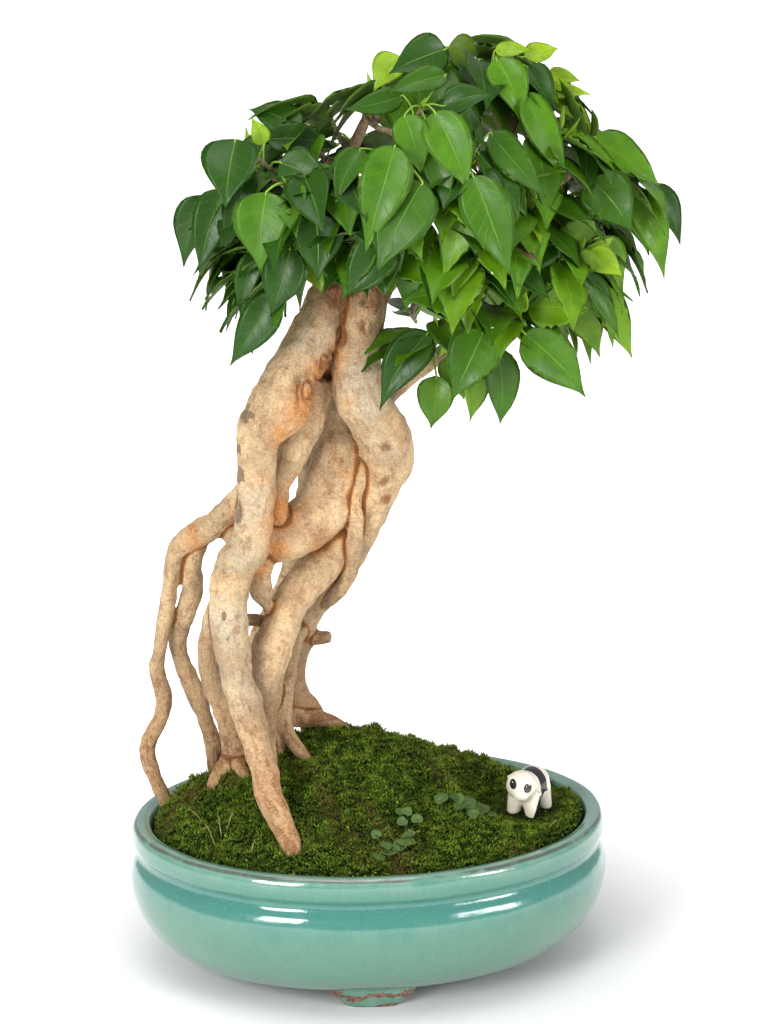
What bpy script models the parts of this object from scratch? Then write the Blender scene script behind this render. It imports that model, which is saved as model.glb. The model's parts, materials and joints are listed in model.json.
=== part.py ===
"""A ficus bonsai grown over its own roots, in an oval glazed pot.

The pot stands on four feet and holds soil under a mossy mound. One woody piece makes the
trunk, its aerial roots and its branches. Leafy shoots, weeds and a china panda are separate.
Metres, +Z up, the front of the plant towards -Y. Point lists are in millimetres.
"""
import math
import random

import bpy
import numpy as np
from mathutils import Matrix, Vector
from mathutils.bvhtree import BVHTree

MM = 0.001

# Pot, measured over its rim
POT_LENGTH = 0.260
POT_WIDTH = 0.205
POT_HEIGHT = 0.083
RIM_WIDTH = 0.0105
WALL = 0.0065
FLOOR = 0.008
FOOT_HEIGHT = 0.009
FOOT_LENGTH = 0.046
FOOT_DEPTH = 0.012
FOOT_SIDE_INSET = 0.032
FOOT_END_INSET = 0.047
FOOT_TURN = math.radians(-6)
DRAIN_RADIUS = 0.007
DRAIN_SPACING = 0.090
SCREEN_SIDE = 0.024
SCREEN_THICKNESS = 0.0008

# Foot from the ground up: share of its height, of its length and of its depth
FOOT_SHAPE = ((0, 0.72, 0.8), (0.25, 0.84, 1.0), (1.0, 1.0, 1.1), (1.6, 0.9, 0.9))

# Planting
MOUND_HEIGHT = 0.043
MOUND_OFFSET = 0.09
MOSS_DROP = 0.0045
MOSS_THICKNESS = 0.005
PLANT_HEIGHT = 0.424
LEAF_LENGTH = 0.043
LEAF_WIDTH = 0.024
LEAF_THICKNESS = 0.0008
STALK_RADIUS = 0.00055
BLADE_ARCH = 0.24
BLADE_FOLD = 0.12
PANDA_LENGTH = 0.0365
CLEARANCE = 0.0003

RING = 32

# The pot and plant sizes that the point lists below were drawn for
PLANTED_LENGTH = 0.260
PLANTED_WIDTH = 0.205
PLANTED_HEIGHT = 0.424
PLANTED_RIM = 0.083
DRAWN_LEAF = 0.043

# Pot wall from the foot of the outside to the rim: inset from the rim's edge, height share
POT_OUTSIDE = (
    (36.0, 0.108), (26.0, 0.128), (17.0, 0.188), (8.0, 0.300), (2.2, 0.432), (-0.6, 0.556),
    (-1.2, 0.652), (0.2, 0.722), (3.2, 0.778), (3.4, 0.818), (0.8, 0.858), (0.0, 0.910),
    (0.4, 0.960), (2.6, 0.996),
)

# Roots and trunks, bottom or tip last: x, y, z and radius
LIMBS = {
    "front_root": (
        (-13, -2, 384, 9), (-18, -6, 373, 11), (-29, -12, 350, 12.5), (-41, -18, 333, 13.2),
        (-47, -22, 319, 15), (-58, -26, 305, 11.5), (-60, -28, 290, 9.8), (-61, -31, 268, 9.3),
        (-65, -34, 247, 10.2), (-74, -35, 232, 10.3), (-77, -36, 211, 10.2),
        (-76, -37, 194, 9.4), (-74, -38, 177, 9), (-70, -40, 162, 8.8), (-66, -43, 147, 8.2),
        (-62, -49, 130, 7.7), (-59, -56, 114, 7.2), (-53, -61, 101, 6.6), (-48, -65, 88, 5.6),
        (-45, -68, 70, 4.5),
    ),
    "right_trunk": (
        (8, 0, 382, 9.5), (0, -6, 370, 11.5), (-4, -8, 348, 12.6), (-5, -9, 334, 12.2),
        (-3, -10, 318, 12.8), (4, -8, 305, 13.2), (10, -5, 294, 13.6), (12.5, -3, 281, 12.4),
        (8.6, 0, 268, 10.6), (4.6, 4, 254, 9), (-0.6, 8, 239, 8.2), (-6.2, 12, 226, 7.8),
        (-13, 15, 214, 7.6), (-22.5, 18, 201, 7.2), (-30, 20, 189, 6.4), (-33, 22, 177, 5.8),
        (-36, 25, 165, 5.6), (-37, 28, 153, 5.8), (-35, 32, 141, 6.8), (-30, 36, 130, 7.8),
        (-24, 42, 112, 7), (-22, 46, 96, 5),
    ),
    "centre_root": (
        (-16, 8, 340, 9), (-16, 12, 318, 9), (-15, 12, 298, 10), (-13, 8, 286, 13.2),
        (-15, 4, 275, 14), (-20, 0, 264, 14), (-25, -5, 255, 13.8), (-35, -8, 248, 13),
        (-46, -12, 243, 12.3), (-59, -14, 242, 10.5), (-70, -14, 248, 7.6), (-74, -14, 254, 6),
    ),
    "inner_root": (
        (-26, -2, 326, 8), (-31, -7, 305, 8.2), (-37, -11, 294, 8), (-42, -13, 284, 7.4),
        (-47, -16, 273, 5.8), (-48, -16, 259, 5.2), (-47, -13, 246, 5),
    ),
    "lower_root": (
        (0, 8, 252, 7), (-12, 3, 240, 8.6), (-21, 0, 228, 9.4), (-32, -6, 218, 9.8),
        (-43, -12, 206, 9.7), (-49, -16, 194, 9.4), (-54, -19, 182, 10), (-56, -22, 171, 9),
        (-57, -22, 159, 6.6), (-56.5, -21, 148, 4.6), (-55.5, -19, 137, 3.6), (-54, -15, 100, 3),
    ),
    "slim_root": (
        (-1, -4, 280, 3.4), (-7, -7, 262, 4), (-6, -8, 250, 4.2), (-7, -7, 236, 4.3),
        (-8, -3, 223, 4.2), (-13, 5, 209, 3.8), (-20, 12, 200, 3.4),
    ),
    "behind_root": (
        (-82, -30, 214, 5), (-86, -24, 196, 5.4), (-86.5, -20, 183, 5.8), (-85, -15, 168, 6.2),
        (-81, -10, 156, 6.3), (-77, -5, 144, 6.3), (-73.5, 1, 131, 6.6), (-72, 8, 119, 7.4),
        (-73, 15, 106, 8.4), (-74, 21, 84, 6),
    ),
    "stump_root": (
        (-74, 8, 114, 6), (-80, 4, 107, 6), (-85, 3, 99, 4.6), (-89, 2, 84, 3),
    ),
    "toe_root": (
        (-72, 5, 116, 4.4), (-68, -8, 107, 3.4), (-64, -16, 98, 2.6), (-61, -21, 86, 2),
    ),
    "outer_aerial": (
        (-62, -22, 276, 6.4), (-73, -17, 262, 6.8), (-81, -12, 253, 7.2), (-88, -8, 248, 7.6),
        (-94, -6, 244, 7.2), (-101, -3, 237, 5.4), (-104.5, -1, 225, 4.5), (-106.5, 3, 209, 4.3),
        (-109, 6, 195, 4), (-112, 9, 177, 3.8), (-113.6, 11, 166, 4.3), (-110, 14, 149, 4.4),
        (-112, 16, 137, 4.3), (-118.5, 19, 124, 4.4), (-119.5, 21, 113, 4.2),
        (-115, 24, 97, 3.9), (-110, 26, 84, 3.7), (-106, 27, 68, 3),
    ),
    "inner_aerial": (
        (-90, -7, 247, 7), (-94, -1, 230, 5.4), (-93.5, 5, 212, 5.7), (-97, 9, 200, 5.3),
        (-101.5, 16, 183, 5), (-100.5, 19, 172, 4.8), (-97, 23, 160, 5), (-93, 27, 149, 5),
        (-89.5, 31, 138, 4.6), (-86, 36, 126, 4.4), (-83, 40, 115, 4.4), (-82, 44, 104, 4.3),
        (-81, 48, 92, 4), (-80, 51, 78, 3.2),
    ),
    "knee_root": (
        (-56, -16, 240, 7), (-59, -20, 226, 6.2), (-58, -20, 216, 5.6), (-55, -17, 208, 3),
        (-52, -14, 199, 2.4),
    ),
    "bridge_root": (
        (-86, -23, 198, 3.6), (-68, -9, 198, 3.6), (-57, -6, 196, 3.5), (-49, -10, 193, 3.6),
    ),
    "cut_stub": (
        (-33, 21, 180, 4), (-27, 20, 177.5, 3.6), (-18.5, 18, 178.5, 3.5),
    ),
    "thin_root": (
        (-36, 14, 184, 5), (-41, 8, 170, 5), (-44.5, 2, 152, 4.4), (-46, -4, 139, 4.5),
        (-43.5, -7, 130, 4), (-36, -9, 120, 3.2), (-30, -10, 112, 2.6), (-25, -10, 100, 2),
    ),
    "strand_root": (
        (-48, -4, 180, 3), (-49, -3, 160, 2.4), (-50, -2, 142, 2.4), (-48, 0, 126, 2.6),
        (-46, 4, 104, 2),
    ),
    "ridge_root": (
        (-38, 28, 130, 6), (-28, 30, 128, 5.4), (-18, 30, 125.5, 4), (-10, 30, 122, 2.4),
        (-2, 29, 114, 1.6),
    ),
    "back_root": (
        (-8, 8, 346, 9), (-16, 20, 314, 9), (-22, 28, 280, 8.6), (-26, 32, 250, 8.2),
        (-32, 35, 222, 8), (-40, 37, 196, 7.4), (-45, 43, 168, 7), (-46, 51, 138, 7.2),
        (-42, 58, 110, 7), (-40, 62, 86, 5),
    ),
    "back_strand": (
        (-40, 34, 206, 5), (-56, 34, 176, 4.6), (-62, 38, 146, 4.6), (-64, 42, 116, 5),
        (-64, 46, 84, 4),
    ),
}

# Branches of the crown, from the trunk outwards
BRANCHES = {
    "leader": (
        (3, -3, 372, 11), (14, 0, 390, 9), (28, 4, 412, 7.4), (40, 4, 436, 5.6),
        (48, 2, 458, 4), (56, -4, 476, 2.6),
    ),
    "left_leader": (
        (-14, -2, 374, 9), (-14, 4, 395, 7), (-12, 8, 418, 5), (-6, 10, 440, 3.6),
        (4, 8, 464, 2.6), (8, 8, 480, 2),
    ),
    "left_arm": (
        (-14, 0, 384, 6.4), (-22, -12, 402, 5), (-32, -22, 422, 3.8), (-45, -28, 438, 2.8),
    ),
    "left_low_arm": (
        (-20, -8, 398, 4), (-34, -6, 408, 3.4), (-56, -6, 422, 2.4),
    ),
    "lower_right_arm": (
        (6, 4, 312, 8), (18, 9, 320, 6.4), (34, 8, 331, 5), (50, -6, 345, 3.6),
        (58, -28, 357, 2.6),
    ),
    "right_mid_arm": (
        (22, 0, 402, 5), (48, -8, 396, 4), (74, -16, 390, 3.2), (92, -28, 389, 2.6),
    ),
    "right_high_arm": (
        (34, 4, 424, 5), (64, 8, 428, 4.2), (94, 4, 424, 3.2), (114, -4, 436, 2.6),
    ),
    "front_arm": (
        (24, 2, 408, 4.4), (22, -16, 432, 3.6), (21, -34, 458, 2.6),
    ),
    "back_left_arm": (
        (-12, 8, 410, 5), (-22, 30, 424, 4), (-32, 52, 432, 2.8),
    ),
    "back_arm": (
        (18, 4, 400, 5), (16, 30, 418, 4), (12, 58, 432, 2.8),
    ),
    "back_right_arm": (
        (36, 6, 430, 4.8), (54, 34, 438, 3.8), (74, 56, 430, 2.8),
    ),
    "back_low_arm": (
        (10, 0, 386, 5), (28, 24, 376, 4), (48, 40, 366, 2.8),
    ),
}

# Shoots with chosen leaves: twig start, twig end, then per leaf its base, its reach and width
CHOSEN_SHOOTS = {
    "left_bud": ((-47, -29, 440), (-57, -34, 449), (
        ((-68, -38, 459), (-7, -16, -30), 27),
        ((-61, -30, 444), (-13, 4, -40), 15),
        ((-54, -36, 456), (-6, -2, 14), 9),
        ((-51, -24, 457), (35, 4, -5), 15),
        ((-46, -38, 447), (26, -12, -11), 20),
    )),
    "left_low": ((-58, -7, 423), (-68, -12, 430), (
        ((-74, -16, 431), (-13, -4, -40), 19),
        ((-83, -8, 427), (-11, 2, -36), 18),
        ((-66, 2, 424), (-10, 8, -34), 20),
    )),
    "front_left": ((-35, -30, 427), (-43, -43, 437), (
        ((-54, -50, 434), (-4, -4, -38), 27),
        ((-30, -54, 423), (0, -8, -30), 24),
        ((-30, -44, 442), (20, -12, -16), 18),
    )),
    "left_under": ((-28, -14, 387), (-42, -32, 394), (
        ((-42, -46, 405), (-11, 0, -33), 22),
        ((-48, -35, 379), (-25, 2, -36), 19),
        ((-58, -26, 400), (-9, -2, -32), 12),
        ((-30, -34, 390), (4, -8, -26), 16),
    )),
    "front_mid": ((6, -38, 438), (11, -60, 451), (
        ((8, -75, 459), (-16, -6, -48), 24),
        ((-7, -60, 456), (-14, -8, -25), 14),
        ((21, -78, 441), (-24, -6, -41), 28),
    )),
    "front_low": ((2, -30, 402), (6, -48, 408), (
        ((5, -60, 409), (-21, -2, -29), 22),
        ((-22, -38, 398), (10, -6, -28), 20),
        ((20, -50, 405), (-4, -2, -32), 16),
    )),
    "centre_bud": ((22, -38, 464), (24, -56, 476), (
        ((11, -68, 470), (4, -6, -25), 17),
        ((28, -72, 475), (16, -8, -38), 21),
        ((26, -68, 458), (6, -4, -29), 16),
        ((34, -60, 476), (25, -6, 7), 14),
        ((38, -46, 490), (-31, -4, -8), 13),
        ((17, -38, 479), (-30, 0, -6), 12),
    )),
    "crown_top": ((42, -6, 472), (38, -20, 494), (
        ((40, -30, 501), (-30, -6, -10), 20),
        ((19, -12, 496), (-14, -2, -16), 17),
        ((44, -10, 500), (18, 12, -12), 18),
    )),
    "top_right": ((58, -6, 480), (68, -18, 492), (
        ((65, -34, 496), (12, -6, -30), 18),
        ((82, -24, 491), (13, -10, -22), 16),
        ((79, -38, 479), (22, -4, -44), 17),
        ((68, -12, 498), (18, -4, 1), 9),
        ((84, -8, 494), (18, 2, 4), 11),
    )),
    "right_top": ((82, -4, 470), (92, -7, 479), (
        ((97, -5, 485), (17, 0, -3), 8),
        ((98, -9, 481), (22, -2, -10), 8),
        ((96, -14, 474), (20, -2, -11), 9),
        ((88, 2, 484), (16, 12, -20), 18),
    )),
    "front_centre": ((38, -44, 432), (46, -66, 446), (
        ((46, -80, 444), (18, -6, -50), 22),
        ((47, -72, 432), (-15, -2, -38), 20),
        ((58, -58, 462), (28, -4, -32), 16),
        ((64, -52, 452), (14, -4, -34), 15),
    )),
    "right_upper": ((116, -5, 438), (120, -10, 447), (
        ((119, -16, 453), (35, -4, -26), 18),
        ((115, -30, 433), (19, -14, -25), 26),
        ((116, 4, 447), (-3, 2, 18), 14),
    )),
    "right_far": ((126, -4, 430), (141, -8, 431), (
        ((142, -16, 425), (15, -2, -43), 17),
        ((152, -6, 426), (16, 0, -31), 14),
        ((145, 4, 424), (10, 8, -36), 16),
    )),
    "right_mid": ((94, -30, 389), (105, -40, 394), (
        ((93, -50, 404), (-33, -6, -16), 19),
        ((111, -46, 398), (17, -4, -12), 13),
        ((110, -48, 389), (17, -2, -34), 11),
        ((115, -36, 384), (22, 2, -44), 17),
        ((102, -32, 380), (19, 4, -38), 21),
        ((120, -26, 402), (14, 4, -28), 18),
    )),
    "low_right": ((59, -31, 358), (70, -43, 365), (
        ((54, -48, 370), (-41, -8, -9), 27),
        ((56, -52, 360), (-17, -4, -33), 25),
        ((79, -46, 371), (33, -4, -2), 22),
        ((77, -50, 358), (32, -2, -32), 23),
        ((66, -38, 350), (4, 2, -44), 17),
        ((55, -32, 341), (-3, 4, -34), 13),
        ((74, -54, 370), (3, -3, 11), 7),
    )),
    "low_mid": ((34, -4, 340), (37, -22, 350), (
        ((30, -32, 356), (-26, -2, -36), 20),
        ((36, -18, 330), (-3, 0, -28), 18),
        ((44, -12, 340), (8, 2, -24), 16),
    )),
}

# Shoots whose leaves follow the spiral rule: twig start and twig end
SPIRAL_SHOOTS = (
    ((-40, 18, 428), (-52, 26, 434)), ((-30, 48, 424), (-42, 60, 428)),
    ((-52, 8, 402), (-63, 15, 404)), ((-22, 38, 452), (-30, 48, 460)),
    ((-24, -8, 448), (-33, -14, 458)), ((-10, 12, 452), (-15, 16, 464)),
    ((4, 52, 438), (0, 66, 444)), ((12, 36, 464), (10, 46, 476)),
    ((8, 66, 412), (4, 80, 410)), ((34, 52, 456), (38, 66, 462)),
    ((-12, 54, 396), (-20, 66, 392)), ((56, 44, 452), (64, 56, 458)),
    ((80, 54, 432), (90, 66, 432)), ((68, 66, 404), (76, 80, 400)),
    ((98, 32, 442), (110, 38, 446)), ((108, 36, 414), (121, 44, 412)),
    ((92, 46, 386), (103, 56, 382)), ((116, 12, 408), (130, 16, 404)),
    ((18, 6, 472), (12, -2, 484)), ((50, 16, 482), (54, 26, 491)),
    ((76, 16, 474), (86, 22, 482)), ((70, 16, 372), (82, 22, 368)),
    ((52, 48, 360), (56, 62, 354)), ((30, 36, 352), (34, 50, 346)),
    ((88, -4, 374), (101, -2, 370)), ((-38, 6, 384), (-50, 8, 380)),
    ((68, -32, 416), (77, -46, 418)), ((82, -24, 442), (92, -36, 448)),
    ((46, -40, 400), (50, -56, 402)), ((-12, -34, 430), (-18, -48, 434)),
    ((2, -22, 464), (-4, -34, 472)), ((-24, 26, 402), (-34, 38, 400)),
)
SPIRAL_LEAVES = 6
EXTRA_LEAVES = 2
LEAF_TRIES = 60
THICK_LIMB = 6.5
CROWN = (((60, 2, 420), (74, 78, 85)), ((36, 0, 392), (134, 108, 74)))
TWIG_RADIUS = 0.0014
CARRIER_RADIUS = 0.0026
SPIRAL_ANGLE = math.radians(137.5)

PAD_HEIGHT = 0.0004
PANDA_PLACE = (0.665, -0.17)
PANDA_TURN = math.radians(51)
PANDA_UNITS = 33
WEED_PLACES = {"weed_front": ((-0.02, -0.78), (0.07, -0.72), (0.11, -0.56), (0.19, -0.54)),
               "weed_side": ((0.29, -0.36), (0.38, -0.42), (0.44, -0.30), (0.53, -0.33))}
WEED_STEPS = 3
WEED_LIFT = 0.0024
WEED_STEM = 0.0006
WEED_RISE = (0.0006, -0.0012, 0.0034)
WEED_LEAF = (0.0034, 0.0032, 0.0006)
WEED_TURN = 0.3

COLOURS = {
    "teal_glaze": ((0.16, 0.45, 0.38), 0.12),
    "soil": ((0.055, 0.035, 0.022), 0.95),
    "moss": ((0.07, 0.13, 0.02), 0.9),
    "bark": ((0.52, 0.37, 0.22), 0.7),
    "leaf": ((0.04, 0.17, 0.02), 0.35),
    "weed": ((0.14, 0.26, 0.06), 0.5),
    "china": ((0.80, 0.76, 0.66), 0.12),
    "screen": ((0.02, 0.02, 0.02), 0.5),
}


def material(name):
    """A Principled material with the slot's colour and roughness."""
    found = bpy.data.materials.get(name)
    if found:
        return found
    colour, roughness = COLOURS[name]
    made = bpy.data.materials.new(name)
    made.use_nodes = True
    made.diffuse_color = (*colour, 1)
    shader = made.node_tree.nodes["Principled BSDF"]
    shader.inputs["Base Color"].default_value = (*colour, 1)
    shader.inputs["Roughness"].default_value = roughness
    return made


def mesh_object(name, shapes, slot, smooth=True):
    """One object from (points, faces) shapes, which may overlap."""
    points, faces = [], []
    for shape_points, shape_faces in shapes:
        start = len(points)
        points.extend(tuple(p) for p in shape_points)
        faces.extend(tuple(start + i for i in face) for face in shape_faces)
    mesh = bpy.data.meshes.new(name)
    mesh.from_pydata(points, [], faces)
    mesh.materials.append(material(slot))
    mesh.polygons.foreach_set("use_smooth", [smooth] * len(mesh.polygons))
    obj = bpy.data.objects.new(name, mesh)
    bpy.context.scene.collection.objects.link(obj)
    return obj


def boolean(obj, other, operation):
    """Apply one exact Boolean, then remove the other object."""
    modifier = obj.modifiers.new(operation.lower(), "BOOLEAN")
    modifier.operation = operation
    modifier.solver = "EXACT"
    modifier.object = other
    graph = bpy.context.evaluated_depsgraph_get()
    result = bpy.data.meshes.new_from_object(obj.evaluated_get(graph))
    obj.modifiers.remove(modifier)
    old = obj.data
    result.name = old.name
    obj.data = result
    bpy.data.meshes.remove(old)
    bpy.data.objects.remove(other)


def united(name, shapes, slot):
    """One object joined from overlapping closed shapes."""
    obj = mesh_object(name, shapes[:1], slot)
    for shape in shapes[1:]:
        boolean(obj, mesh_object(name + "_more", [shape], slot), "UNION")
    return obj


def ring_faces(first, second, count):
    """Quads between two rings of the same number of points."""
    return [(first + i, first + (i + 1) % count, second + (i + 1) % count, second + i)
            for i in range(count)]


def lofted(rings):
    """A closed shape through rings of points, with flat ends."""
    count = len(rings[0])
    points = [p for ring in rings for p in ring]
    faces = [tuple(reversed(range(count)))]
    for k in range(len(rings) - 1):
        faces += ring_faces(k * count, (k + 1) * count, count)
    faces.append(tuple(range((len(rings) - 1) * count, len(rings) * count)))
    return points, faces


def smooth_path(stations, steps):
    """Catmull-Rom points through rows of numbers, with steps between each pair."""
    rows = np.array(stations, float)
    padded = np.vstack([2 * rows[0] - rows[1], rows, 2 * rows[-1] - rows[-2]])
    found = []
    for k in range(len(rows) - 1):
        a, b, c, d = padded[k:k + 4]
        for t in np.arange(steps) / steps:
            found.append(0.5 * (2 * b + (c - a) * t + (2 * a - 5 * b + 4 * c - d) * t * t
                                + (3 * b - 3 * c + d - a) * t ** 3))
    found.append(rows[-1])
    return np.array(found)


def tube(stations, sides=8, steps=1, grow=0.0):
    """A round limb through (x, y, z, radius) rows in metres, its radius raised by grow."""
    rows = smooth_path(stations, steps)
    centres = [Vector(row[:3]) for row in rows]
    ways = [(centres[min(k + 1, len(rows) - 1)] - centres[max(k - 1, 0)]).normalized()
            for k in range(len(rows))]
    centres[0] -= ways[0] * grow
    centres[-1] += ways[-1] * grow
    side = ways[0].orthogonal().normalized()
    rings = []
    for centre, way, row in zip(centres, ways, rows):
        side = (side - way * side.dot(way)).normalized()
        up = way.cross(side)
        radius = row[3] + grow
        turns = [2 * math.pi * i / sides for i in range(sides)]
        rings.append([centre + (side * math.cos(a) + up * math.sin(a)) * radius for a in turns])
    return lofted(rings)


def planted(x, y, z):
    """A plant point given in millimetres, fitted to this pot and this plant height."""
    lift = (z * MM - PLANTED_RIM) * PLANT_HEIGHT / PLANTED_HEIGHT
    return Vector((x * MM * POT_LENGTH / PLANTED_LENGTH, y * MM * POT_WIDTH / PLANTED_WIDTH,
                   POT_HEIGHT + lift))


def limb_sides(rows):
    return 7 if max(row[3] for row in rows) > THICK_LIMB * MM else 5


def planted_rows(stations):
    return [(*planted(x, y, z), radius * MM) for x, y, z, radius in stations]


def oval(inset, height, count=RING):
    """Points of the pot's oval, moved in from the rim's outer edge."""
    return [Vector(((POT_LENGTH / 2 - inset) * math.cos(a), (POT_WIDTH / 2 - inset) * math.sin(a),
                    height)) for a in (2 * math.pi * i / count for i in range(count))]


def box(centre, size):
    x, y, z = (half / 2 for half in size)
    corners = [Vector(centre) + Vector((sx * x, sy * y, sz * z))
               for sz in (-1, 1) for sx, sy in ((-1, -1), (1, -1), (1, 1), (-1, 1))]
    return lofted([corners[:4], corners[4:]])


def cylinder(centre, radius, height, sides=24):
    rings = [[Vector(centre) + Vector((radius * math.cos(a), radius * math.sin(a), z))
              for a in (2 * math.pi * i / sides for i in range(sides))]
             for z in (-height / 2, height / 2)]
    return lofted(rings)


def ball(centre, radii, turn=0.0, rings=5, sides=9):
    """An ellipsoid, turned about Z."""
    spin = Matrix.Rotation(turn, 3, "Z")
    points = []
    for k in range(1, rings):
        polar = math.pi * k / rings
        for i in range(sides):
            a = 2 * math.pi * i / sides
            offset = Vector((radii[0] * math.sin(polar) * math.cos(a),
                             radii[1] * math.sin(polar) * math.sin(a),
                             -radii[2] * math.cos(polar)))
            points.append(Vector(centre) + spin @ offset)
    faces = []
    for k in range(rings - 2):
        faces += ring_faces(k * sides, (k + 1) * sides, sides)
    bottom, top = len(points), len(points) + 1
    points += [Vector(centre) - Vector((0, 0, radii[2])), Vector(centre) + Vector((0, 0, radii[2]))]
    last = (rings - 2) * sides
    faces += [(bottom, (i + 1) % sides, i) for i in range(sides)]
    faces += [(last + i, last + (i + 1) % sides, top) for i in range(sides)]
    return points, faces


# Heights and insets shared by the pot and what lies in it
MOUND_SHARES = (0.22, 0.42, 0.60, 0.76, 0.89, 1.0)
FLOOR_TOP = POT_OUTSIDE[0][1] * POT_HEIGHT + FLOOR
INNER_RIM = RIM_WIDTH
NECK_INSET = RIM_WIDTH + 0.001
BELLY_INSET = WALL


def pot_inside():
    """The inside of the wall, rim to floor: inset and height."""
    return ((INNER_RIM - 0.003, POT_HEIGHT - 0.0004), (INNER_RIM, POT_HEIGHT - 0.003),
            (NECK_INSET, 0.80 * POT_HEIGHT), (BELLY_INSET, 0.65 * POT_HEIGHT),
            (0.009 + WALL / 3, 0.42 * POT_HEIGHT), (0.026, FLOOR_TOP + 0.004),
            (0.034, FLOOR_TOP))


def pot():
    """The fired pot: wall, floor, drain holes and four feet."""
    rings = [oval(inset * MM, share * POT_HEIGHT) for inset, share in POT_OUTSIDE]
    rings += [oval(inset, height) for inset, height in pot_inside()]
    obj = mesh_object("pot", [lofted(rings)], "teal_glaze")
    feet = []
    for quarter in range(4):
        a = quarter * math.pi / 2 + FOOT_TURN
        reach = POT_LENGTH / 2 - FOOT_END_INSET
        if quarter % 2:
            reach = POT_WIDTH / 2 - FOOT_SIDE_INSET
        feet.append(foot(Vector((math.cos(a), math.sin(a), 0)) * reach, a))
    boolean(obj, mesh_object("feet", feet, "teal_glaze"), "UNION")
    holes = [cylinder((side * DRAIN_SPACING / 2, 0, FOOT_HEIGHT + FLOOR / 2), DRAIN_RADIUS,
                      4 * FLOOR) for side in (-1, 1)]
    boolean(obj, mesh_object("holes", holes, "teal_glaze"), "DIFFERENCE")
    return obj


def foot(centre, turn):
    """One low foot, narrower below than where it joins the body."""
    spin = Matrix.Rotation(turn, 3, "Z")
    rings = []
    for height, length, depth in FOOT_SHAPE:
        half_length, half_depth = length * FOOT_LENGTH / 2, depth * FOOT_DEPTH / 2
        ring = [Vector((x * half_depth, y * half_length, height * FOOT_HEIGHT))
                for x, y in ((-1, -1), (0.7, -1), (1, -0.7), (1, 0.7), (0.7, 1), (-1, 1))]
        rings.append([centre + spin @ p for p in ring])
    return lofted(rings)


def mound(x, y):
    """Height of the moss over the point, highest behind the middle and to the left."""
    across = x / (POT_LENGTH / 2 - INNER_RIM)
    deep = y / (POT_WIDTH / 2 - INNER_RIM)
    across += MOUND_OFFSET * (1 - min(across * across + deep * deep, 1.0))
    reach = min(across * across + deep * deep, 1.0)
    lean = 1 + 0.25 * deep - 0.5 * max(across, 0.0)
    height = POT_HEIGHT - MOSS_DROP + MOUND_HEIGHT * (1 - reach) ** 1.1 * lean
    panda_x, panda_y = panda_spot()
    near = math.hypot(x - panda_x, y - panda_y) / PANDA_LENGTH
    blend = max(0.0, min(1.0, 2.2 - 1.8 * near))
    return height + (POT_HEIGHT + PAD_HEIGHT - height) * blend


def panda_spot():
    return PANDA_PLACE[0] * POT_LENGTH / 2, PANDA_PLACE[1] * POT_WIDTH / 2


def filled(name, slot, top_drop, bottom):
    """A body inside the pot whose top follows the mound; bottom rings run floor to edge."""
    edge = NECK_INSET + CLEARANCE

    def dome(drop):
        rings = [[Vector((p.x, p.y, mound(p.x, p.y) - drop)) for p in
                  (q * share for q in oval(edge, 0))] for share in MOUND_SHARES]
        return [Vector((0, 0, mound(0, 0) - drop))], rings

    top_centre, top = dome(top_drop)
    if bottom is None:
        low_centre, low = dome(top_drop + MOSS_THICKNESS)
    else:
        low = [oval(inset, height) for inset, height in bottom]
        low_centre = [Vector((0, 0, low[0][0].z))]
    rings = low + top[::-1]
    points = low_centre + [p for ring in rings for p in ring] + top_centre
    faces = [(0, 1 + (i + 1) % RING, 1 + i) for i in range(RING)]
    for k in range(len(rings) - 1):
        for a, b, c, d in ring_faces(1 + k * RING, 1 + (k + 1) * RING, RING):
            mirrored = bottom is None and k < len(low) - 1
            faces += [(a, b, d), (b, c, d)] if mirrored else [(a, b, c), (a, c, d)]
    last = 1 + (len(rings) - 1) * RING
    faces += [(last + i, last + (i + 1) % RING, len(points) - 1) for i in range(RING)]
    return mesh_object(name, [(points, faces)], slot)


def root_cutters():
    """Every limb, larger by the clearance."""
    return [tube(rows, limb_sides(rows), grow=1.4 * CLEARANCE)
            for rows in map(planted_rows, LIMBS.values())]


def soil_and_moss():
    seat = SCREEN_THICKNESS + 2 * CLEARANCE
    bottom = [(inset + 2 * CLEARANCE, height + CLEARANCE) for inset, height in pot_inside()[:1:-1]]
    soil = filled("soil", "soil", MOSS_THICKNESS + CLEARANCE, bottom)
    pockets = [box((side * DRAIN_SPACING / 2, 0, FLOOR_TOP),
                   (SCREEN_SIDE + 2 * CLEARANCE, SCREEN_SIDE + 2 * CLEARANCE, 2 * seat))
               for side in (-1, 1)]
    boolean(soil, mesh_object("pockets", pockets, "soil"), "DIFFERENCE")
    for cutter in root_cutters():
        boolean(soil, mesh_object("root_space", [cutter], "soil"), "DIFFERENCE")
    moss = filled("moss_carpet", "moss", 0.0, None)
    for cutter in root_cutters():
        boolean(moss, mesh_object("root_space", [cutter], "moss"), "DIFFERENCE")


def drain_screens():
    """A plastic screen over each drain hole."""
    for name, side in (("drain_screen_left", -1), ("drain_screen_right", 1)):
        centre = Vector((side * DRAIN_SPACING / 2, 0, FLOOR_TOP + CLEARANCE + SCREEN_THICKNESS / 2))
        obj = mesh_object(name, [box(centre, (SCREEN_SIDE, SCREEN_SIDE, SCREEN_THICKNESS))], "screen", False)
        pitch = SCREEN_SIDE / 4
        slots = [box(centre + Vector((i * pitch, j * pitch, 0)), (0.6 * pitch, 0.6 * pitch, 0.01))
                 for i in range(-1, 2) for j in range(-1, 2)]
        boolean(obj, mesh_object("slots", slots, "screen", False), "DIFFERENCE")


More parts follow.
